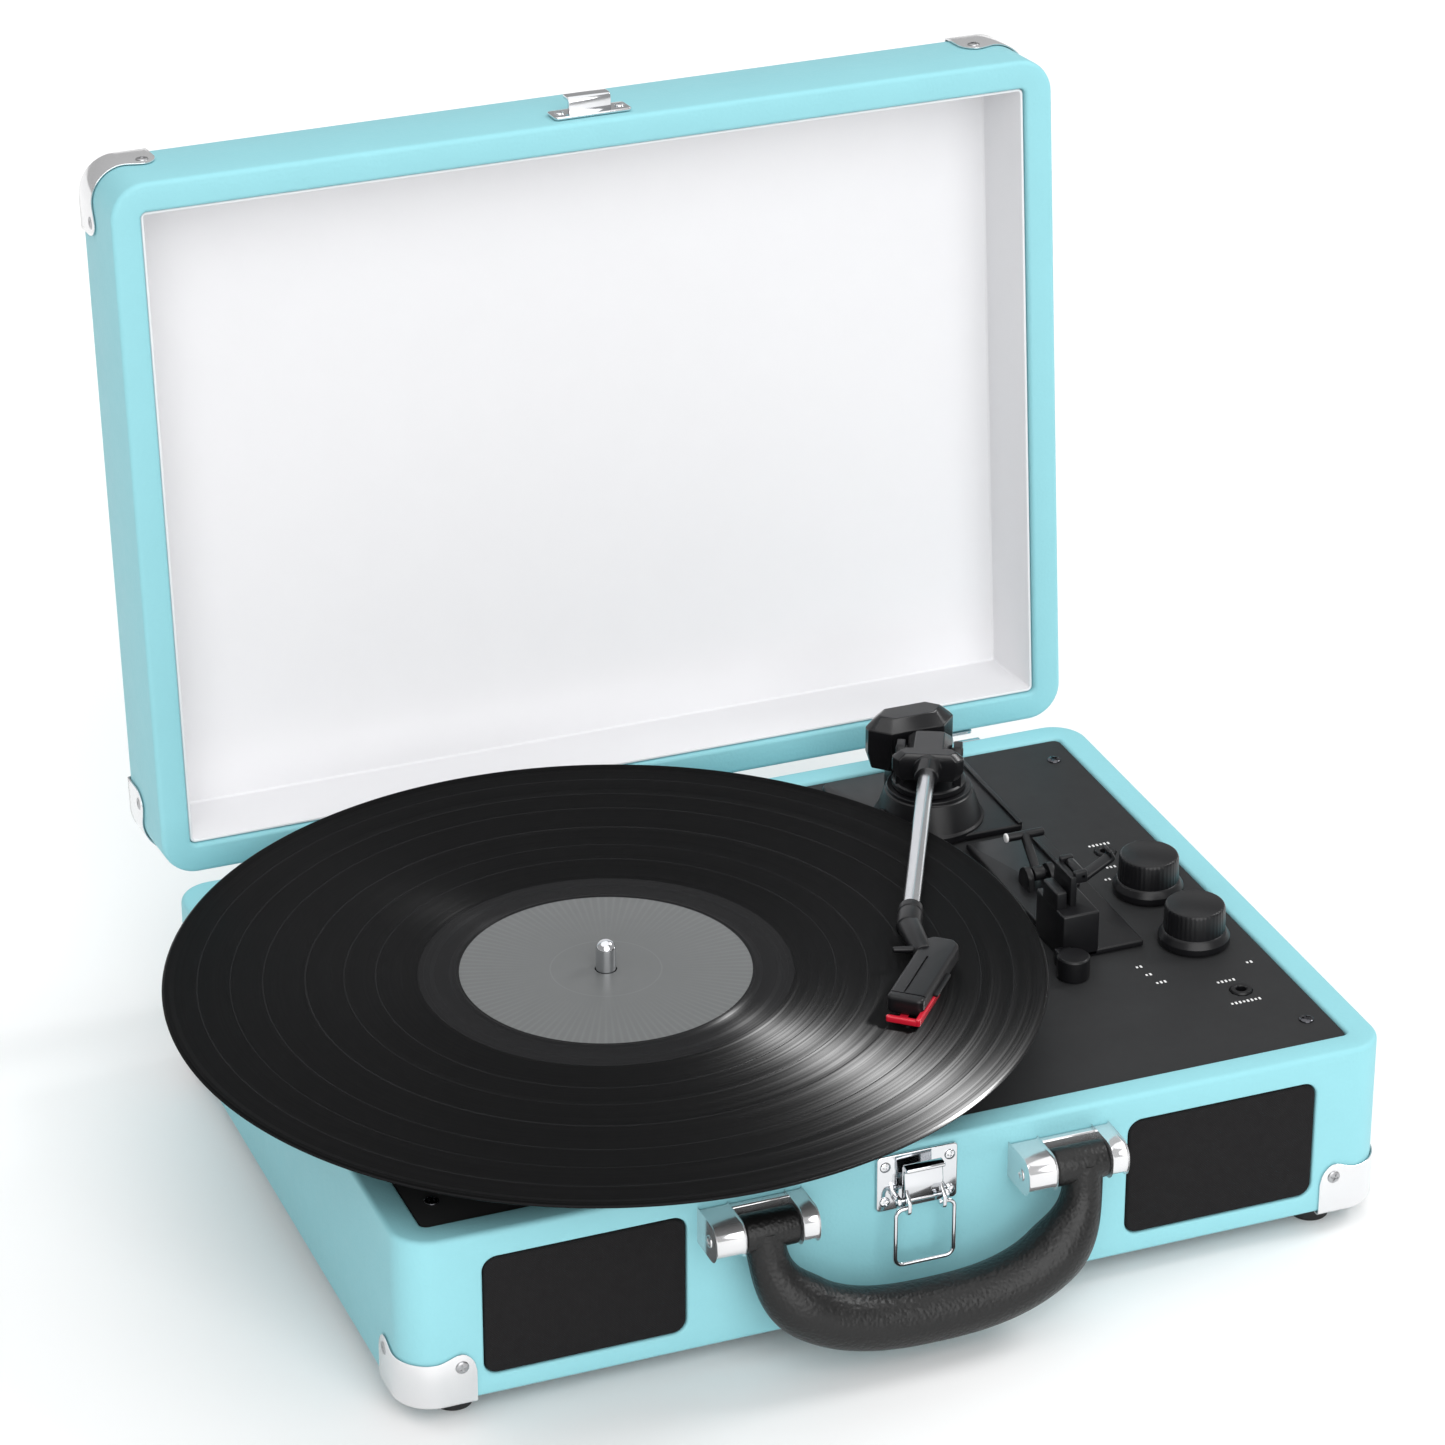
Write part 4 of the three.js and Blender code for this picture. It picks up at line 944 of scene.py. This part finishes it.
def tonearm_base():
    """Raised plate with a conical tower and the pillar that carries the housing."""
    top = 73
    plate = soften([(67, 56.5, 3), (124.5, 56.5, 1.5), (124.5, 113, 1.5), (67, 113, 4)], 3)
    slot = rectangle(around(SWITCH["x"], 6.8), around(SWITCH["y"], 22), 1, 4)
    cut = slab(slot, 60, 80, 0)
    bore = rod((ARM["x"], ARM["y"], 60), (ARM["x"], ARM["y"], 90), 4.6, 0)
    shape = carved(slab(plate, DECK_TOP + GAP, top, 0.7), cut, bore)
    tower = [(4.6, 71), (20.5, 71), (20.5, top + 0.6), (19.6, top + 1.4)]
    tower += [(16.2, 84.2), (15.6, 84.6), (15.5, 86), (4.6, 86)]
    shape += lathe(tower, 96, 0.4, closed=True).at(ARM["x"], ARM["y"])
    shape += block((88, 105), (93.9, 101.5), (top - 1, 84.2), 0.8)
    shape += block((122.4, 124.3), (56.8, 112.6), (top - 0.5, top + 1.0), 0.4)
    stand_in("tonearm_base", "moulded", shape, BLACK, "base")


def cut_gem(levels):
    """A faceted block through levels of height, width, depth and corner chamfer."""
    rings = []
    for z, width, depth, cut in levels:
        x, y = width / 2, depth / 2
        ring = [(x, y - cut), (x - cut, y), (cut - x, y), (-x, y - cut)]
        ring += [(-a, -b) for a, b in ring]
        rings.append(level([Vector(p) for p in ring], z))
    return skin(rings)


def tonearm_housing():
    """A faceted block on the pillar."""
    levels = ((84.5, 30, 11, 5), (91.5, 34, 16, 6.5), (101, 34, 16, 6.5), (105.5, 24, 9, 4))
    shape = cut_gem(levels).at(ARM["x"] + 1.4, 97.8)
    stand_in("tonearm_housing", "faceted", shape, GLOSS_BLACK, "base", bevel=0.5)


def tonearm_yoke():
    table = [(0, 74), (4, 74), (4, 86.4), (13.6, 86.4), (13.6, 88.4), (12.8, 89), (0, 89)]
    shape = lathe(table, 96, 0.25)
    cheek = [(-6.5, 88, 0.5), (6, 88, 0.5), (6, 100), (2.5, 102.6), (-3, 102.6), (-6.5, 96)]
    cheek = soften(cheek, 2)
    for side in SIDES.values():
        shape += sideways(cheek, sorted((side * 8.8, side * 12)), 0.5)
        shape += bar((side * 5, side * 12.3), 0, ARM["axis"], 1.5)
    stand_in("tonearm_yoke", "moulded", shape.moved(ON_ARM), BLACK, "arm_carrier")


def tonearm():
    """The pivot block with a faceted shield in front of the yoke's cheeks, a collar, and the tube."""
    axis = ARM["axis"]
    rings = []
    for z, half, back in ((-5, 7.4, 8), (-3.5, 8.2, 9), (1.5, 8.2, 9), (5, 5.2, 6)):
        rings.append(level(rectangle((-half, half), (-9, back), 1.2), axis + z))
    body = skin(rings)
    levels = ((-5.5, 22, 5, 2), (-2, 26, 7, 2.5), (3, 26, 7, 2.5), (5.5, 20, 5, 2))
    body += cut_gem(levels).at(0, -11.1, axis)
    collar = [(0, 0), (5.3, 0), (5.3, 3.6), (4.9, 4.1), (4.3, 11), (0, 11)]
    body += lathe(collar, 64, 0.3).moved(move(0, -11, axis) @ FRONT)
    body = body.moved(ON_ARM)
    stand_in("tonearm_pivot_block", "faceted", body, GLOSS_BLACK, "tonearm", bevel=0.4)
    tube = rod((0, -8.3, axis), (0, ARM["end"], axis), ARM["tube"], 0.4, 64)
    stand_in("tonearm_tube", "drawn", tube.moved(ON_ARM), SATIN, "tonearm")


def headshell():
    """Collar, cranked neck, and a hollow shell with a finger lift."""
    axis, half, length = ARM["axis"], HEAD["width"] / 2, HEAD["length"]
    collar = [(0, 0), (4.0, 0), (4.4, 0.6), (4.4, 4), (4.1, 4.3), (4.1, 4.9), (4.4, 5.2), (4.4, 13.4)]
    collar += [(3.8, 14), (0, 14)]
    shape = lathe(collar, 64, 0.2).moved(move(0, -119, axis) @ FRONT)
    shape += rod((0, -131, axis), (6, -150, axis), 4.3, 0.6, 64, end_radius=3.4)
    outline = [(-half, -length, 2.2), (half, -length, 2.2), (half, -3, 4), (3.4, 0)]
    outline += [(-3.4, 0), (-half, -3, 4)]
    roof = slab(soften(outline, 2, steps=6), 95.5, 102, 1.3, 5)
    inside = rectangle((-half + 1.4, half - 1.4), (-length + 1.6, -2.4), 1)
    grooves = [
        block((-half - 1, half + 1), (-length + 3.4, -length + 4.0), (101.4, 103), 0.05),
        block((-1.6, -0.9), (-length + 4.5, -length + 30), (101.2, 103), 0.05),
    ]
    shell = carved(roof, slab(inside, 90, 99.8, 0), *grooves)
    shell += block((half - 0.6, half + 1.6), (-length + 12, -length + 27), (97.4, 98.6), 0.4)
    shape += shell.moved(ON_ARM.inverted() @ ON_HEAD)
    shape += rod((4, -148, 100), (-4.5, -151, 101.2), 1.4, 0.5, 32, end_radius=1)
    stand_in("headshell", "moulded", shape.moved(ON_ARM), BLACK, "tonearm")
    half -= 1.9
    body = block((-half, half), (-length + 2.3, -14), (95.6, 99.3), 0.6)
    body += block((-half + 1, half - 1), (-14.2, -9), (96.4, 99.2), 0.4)
    for x in (-3, -1, 1, 3):
        body += rod((x, -9.2, 97.6), (x, -5, 97.6), 0.45, 0.1, 16)
    stand_in("cartridge", "moulded", body.moved(ON_HEAD), GLOSS_BLACK, "tonearm")


def stylus():
    """Needle guard: a red blade along one side, a lip across the front, and the needle under it."""
    front = -HEAD["length"] - 5
    blade = soften([(5.4, front, 0.6), (7.2, front, 1.4), (7.2, -26, 1.2), (5.4, -28, 0.4)], 0.5)
    lip = soften([(-5, front, 1.2), (7.2, front, 1.4), (7.2, front + 2, 0.3), (-5, front + 2, 0.8)], 0.5)
    shape = slab(blade, 94.9, 97.6, 0.4) + slab(lip, 94.9, 97, 0.4)
    shape += block((-4, 7), (front + 8, front + 17), (94.9, 95.5), 0.15)
    shape += block((-1.4, 1.4), (front + 1, front + 9), (94.9, 95.4), 0.15)
    stand_in("stylus", "guard", shape.moved(ON_HEAD), RED, "tonearm")
    needle = lathe([(0, RECORD["top"] + GAP), (0.3, 94.5), (0.8, 95.1), (0, 95.1)], 20)
    piece("stylus_needle", needle.at(0, front + 4).moved(ON_HEAD), STEEL, "tonearm")


def arm_rest():
    """Plate, cradle, stepped side wing and front pillar."""
    low, top = DECK_TOP + GAP, REST["top"]
    x0, x1, y0, y1 = REST["x0"], REST["x1"], REST["y0"], REST["y1"]
    shape = block((99, REST["wing"]), (y0, 51), (low, 72.6), 0.6)
    shape += block((122.4, 124.3), (7, 50.6), (72, 73.8), 0.4)
    shape += block((x0, x1), (y0, y1), (low, top), 0.8)
    shape += block((x0, 101), (y0 + 6, y1 - 5), (top - 1, 94.4), 0.7)
    front, back = CLIP["y"] - 7, CLIP["y"] + 7
    shape += block((102.4, 105), (front, back), (top - 1, CLIP["z"] + 0.5), 0.5)
    for y in (front, back - 2.2):
        shape += block((104, 109), (y, y + 2.2), (96.5, 101), 0.5)
    outline = [(x1 - 1, y0, 1), (REST["wing"], y0, 1.5), (REST["wing"], -20, 1.5), (x1 - 1, 6, 0.5)]
    wing = slab(soften(outline, 1), low, 78, 0.6)
    pocket = slab(rectangle((114, 124), (y0 + 5, -26), 1), 75, 80, 0)
    steps = [block((x1, REST["wing"] + 1), (y, y + 0.7), (77.4, 79), 0.1) for y in (y0 + 2.2, -23.6)]
    shape += carved(wing, pocket, *steps)
    shape += lathe([(0, low), (5.8, low), (5.8, 77.9), (5.2, 78.5), (0, 78.5)], 64, 0.3).at(96.5, -47)
    shape += block((94, 100), (-46, y0 + 1), (low, 76), 0.5)
    ear = soften([(9, 72, 0), (19, 72, 0), (18, 78, 3), (14, 81, 3), (10, 78, 3)], 1)
    for x in (105.2, 114):
        shape += sideways(ear, (x, x + 2.5), 0.4)
    stand_in("arm_rest", "moulded", shape, BLACK, "base")


def arm_clip():
    tip = -CLIP["reach"]
    inner = 1.4 + tip
    hook = [(1, 0, 0.8), (1, 6.2, 1.8), (tip, 6.2, 1.6), (tip, 1.4, 0.6), (inner, 1.4, 0.6)]
    hook += [(inner, 4.4, 1.2), (-1, 4.4, 1.2), (-1, 0, 0.8)]
    shape = slab(soften(hook, 1, steps=6), -2.5, 2.5, 0.5).moved(FRONT)
    shape += rod((0, -7, 0), (0, 7, 0), 0.9) + rod((0, -4.5, 0), (0, 4.5, 0), 1.8, 0.4)
    spot = move(CLIP["x"], CLIP["y"], CLIP["z"]) @ turn(CLIP["open"], "Y")
    stand_in("arm_clip", "moulded", shape.moved(spot), BLACK, "arm_clip")


def cue_lever():
    y, z = 19, 5.5
    shape = bar((-5, 5.8), 0, 0, 1) + bar((-2, 2.4), 0, 0, 2.6, 0.5)
    shape += rod((0, 0, 0), (3.5, y, z), 1.7, 0.5)
    shape += bar((-4, 11), y, z, 1.6, 0.7)
    spot = move(110.5, 14, 77)
    stand_in("cue_lever", "moulded", shape.moved(spot), BLACK, "cue_lever")
    # A small white piece at the end of the black lever: a painted glint
    tip = bar((-4.3, -3.2), y, z, 1.7, 0.5)
    piece("cue_lever_painted_glint", tip.moved(spot), PRINT_AND_PAINTED_GLINT, "cue_lever")


# ---- controls


def knob_shape():
    """Flared skirt, fluted grip, flat top and a pointer ridge down the side."""
    skirt = [(0, 70.8), (12.75, 70.8), (12.75, 73.2), (11.5, 75.2), (11, 75.8), (0, 75.8)]
    shape = lathe(skirt, 96, 0.35)
    flutes, depth = 40, 0.1
    levels = [(11.0, 75), (10.75, 84.2), (10.3, 85.1), (9.6, 85.5)]
    rings = []
    for radius, z in levels:
        fade = depth if radius > 10.4 else 0
        ring = []
        for angle in full_turn(flutes * 6):
            reach = radius - fade * (0.5 + 0.5 * cos(flutes * angle))
            ring.append(Vector((reach * cos(angle), reach * sin(angle), z)))
        rings.append(ring)
    shape += skin(rings)
    shape += block((-0.6, 0.6), (9, 11.7), (77.6, 84.6), 0.3)
    return shape + rod((0, 0, 58), (0, 0, 72), 3)


def knobs():
    for name, (x, y) in KNOBS.items():
        stand_in(f"{name}_knob", "fluted", knob_shape().at(x, y), BLACK, f"{name}_knob")


def jacks():
    for name, (x, y) in JACKS.items():
        lip = DECK_TOP + 0.8
        barrel = [(1.9, 57), (3.9, 57), (3.9, DECK_TOP + 0.2), (3.5, lip), (2.3, lip)]
        shape = lathe([*barrel, (1.9, DECK_TOP + 0.4)], 48, 0.15, closed=True)
        shape += lathe([(2.2, 54), (6, 54), (6, 66), (2.2, 66)], 48, 0.3, closed=True)
        stand_in(f"{name}_jack", "turned", shape.at(x, y), BLACK, "base")


def speed_switch():
    shape = block((-2.6, 2.6), (-5, 5), (71.2, 76.5), 0.6)
    shape += block((-1.4, 1.4), (-2.5, 2.5), (62, 72), 0.2)
    shape += block((-1.4, 1.4), (-2, 2), (76, 79.5), 0.5)
    for y in (-4, -3, 3, 4):
        shape += block((-2.2, 2.2), (y - 0.25, y + 0.25), (76.2, 76.9), 0.1)
    shape = shape.at(SWITCH["x"], SWITCH["y"])
    stand_in("speed_switch", "moulded", shape, GLOSS_BLACK, "speed_switch")


# Middle and number of dashes of each printed mark.
PRINTED = [(145.8, 36.9, 6), (142.7, 20.0, 3), (137.6, 12.0, 2), (120.7, -49.5, 2), (121.5, -55.6, 2)]
PRINTED += [(123.3, -62.0, 3), (158.1, -60.5, 2), (144.6, -69.5, 5), (144.9, -84.5, 8)]


def deck_details():
    """Deck screws and rows of printed dashes beside the controls."""
    screws = joined(
        screw(2.6, 1.0).moved(move(x, y, DECK_TOP) @ turn(25 + x + y, "Z"))
        for x in (-SCREWS["x"], SCREWS["x"])
        for y in (-SCREWS["y"], SCREWS["y"])
    )
    piece("deck_screws", screws, DARK_STEEL, "base")
    marks = []
    for x, y, count in PRINTED:
        for k in range(count):
            spot = x + (k - (count - 1) / 2) * 1.5
            span = around(y, 1.5 if k % 3 else 1.1)
            marks.append(block(around(spot, 0.75), span, (DECK_TOP - 0.1, DECK_TOP + 0.08), 0.03))
    piece("deck_print", joined(marks), PRINT_AND_PAINTED_GLINT, "base")


# ---- carried-over nodes

KEPT = {
    "base_bottom": (BLACK, 0.3),
    "deck_plate": (DECK, 0.35),
    "motor": (STEEL, 0.6),
    "circuit_board": (BOARD, 0.2),
    "spindle_bearing": (STEEL, 0.3),
    "drive_belt": (RUBBER, 0.2),
    "motor_pulley": (STEEL, 0.2),
    "volume_pot": (SATIN, 0.5),
    "selector_pot": (SATIN, 0.5),
    "speaker_left": (CONE, 0.3),
    "speaker_right": (CONE, 0.3),
}


def kept_nodes():
    for name, (material, width) in KEPT.items():
        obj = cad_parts[name]
        obj.data.materials.clear()
        obj.data.materials.append(material)
        soft_edges(obj, width)


# ---- stage, lights and camera


def stage():
    reach = (-12000, 12000)
    floor = made("floor", slab(rectangle(reach, reach, 5), -40, 0, 2), TO_FRAME)
    paint = Paint("floor_paper", (0.93, 0.93, 0.93), 0.6)
    paint.bump(paint.noise(8, 3), 0.4, 0.1)
    paint.polish(5, 0.55, 0.65)
    floor.data.materials.append(paint.material)


def lamp(name, kind, direction, power, **values):
    """A lamp a metre away that shines at the case from a direction."""
    data = bpy.data.lights.new(name, kind)
    data.energy = power
    for key, value in values.items():
        setattr(data, key, value)
    light = bpy.data.objects.new(name, data)
    bpy.context.scene.collection.objects.link(light)
    way = Vector(direction).normalized()
    light.location = CASE_CENTRE + Vector((0, 0, 0.1)) + way
    light.rotation_euler = way.to_track_quat("Z", "Y").to_euler()
    return light


def lights():
    """Wide soft light from the front and above, a key from the right for the shadows, and a spot
    there that only shines on the record's nearer right side."""
    world = bpy.data.worlds.new("studio")
    world.use_nodes = True
    sky = world.node_tree.nodes["Background"]
    sky.inputs["Color"].default_value = (1, 1, 1, 1)
    sky.inputs["Strength"].default_value = 0.40
    bpy.context.scene.world = world
    right = (0.74, 0.03, 0.67)
    lamp("key", "SUN", right, 0.9, angle=radians(20))
    lamp("front", "SUN", (-0.10, -0.86, 0.50), 2.15, angle=radians(60))
    lamp("top", "SUN", (-0.1, 0.1, 0.99), 1.2, angle=radians(80))
    record_only = bpy.data.collections.new("record_only")
    record_only.objects.link(bpy.data.objects["vinyl_record.pressed"])
    spot = lamp("record_light", "SPOT", right, 2150, shadow_soft_size=0.07, spot_blend=1.0)
    spot.data.spot_size = radians(17)
    aim = TO_FRAME @ Vector((SPINDLE["x"] + 50, SPINDLE["y"] - 95, RECORD["top"]))
    spot.rotation_euler = (spot.location - aim).to_track_quat("Z", "Y").to_euler()
    spot.visible_diffuse = False
    spot.light_linking.receiver_collection = record_only


def camera():
    data = bpy.data.cameras.new("camera")
    data.lens = 133.06
    data.sensor_width = 36
    data.clip_end = 100
    obj = bpy.data.objects.new("camera", data)
    bpy.context.scene.collection.objects.link(obj)
    place = TO_FRAME @ Vector((-610.3, -1504.4, 997.7))
    target = TO_FRAME @ Vector((-16.2, 0, 168.2))
    obj.location = place
    obj.rotation_euler = (place - target).to_track_quat("Z", "Y").to_euler()
    bpy.context.scene.camera = obj


BUILDERS = (
    camera, base_frame, lid_shell, lid_lining, corner_caps, feet, grilles, handle_brackets, handle,
    latch, latch_lever, latch_bail, lid_catch, hinges, rear_jacks, platter, vinyl_record, spindle,
    tonearm_base, tonearm_housing, tonearm_yoke, tonearm, headshell, stylus, arm_rest, arm_clip,
    cue_lever, knobs, jacks, speed_switch, deck_details, kept_nodes, stage, lights,
)
for build in BUILDERS:
    build()
bpy.context.scene.view_settings.view_transform = "Standard"
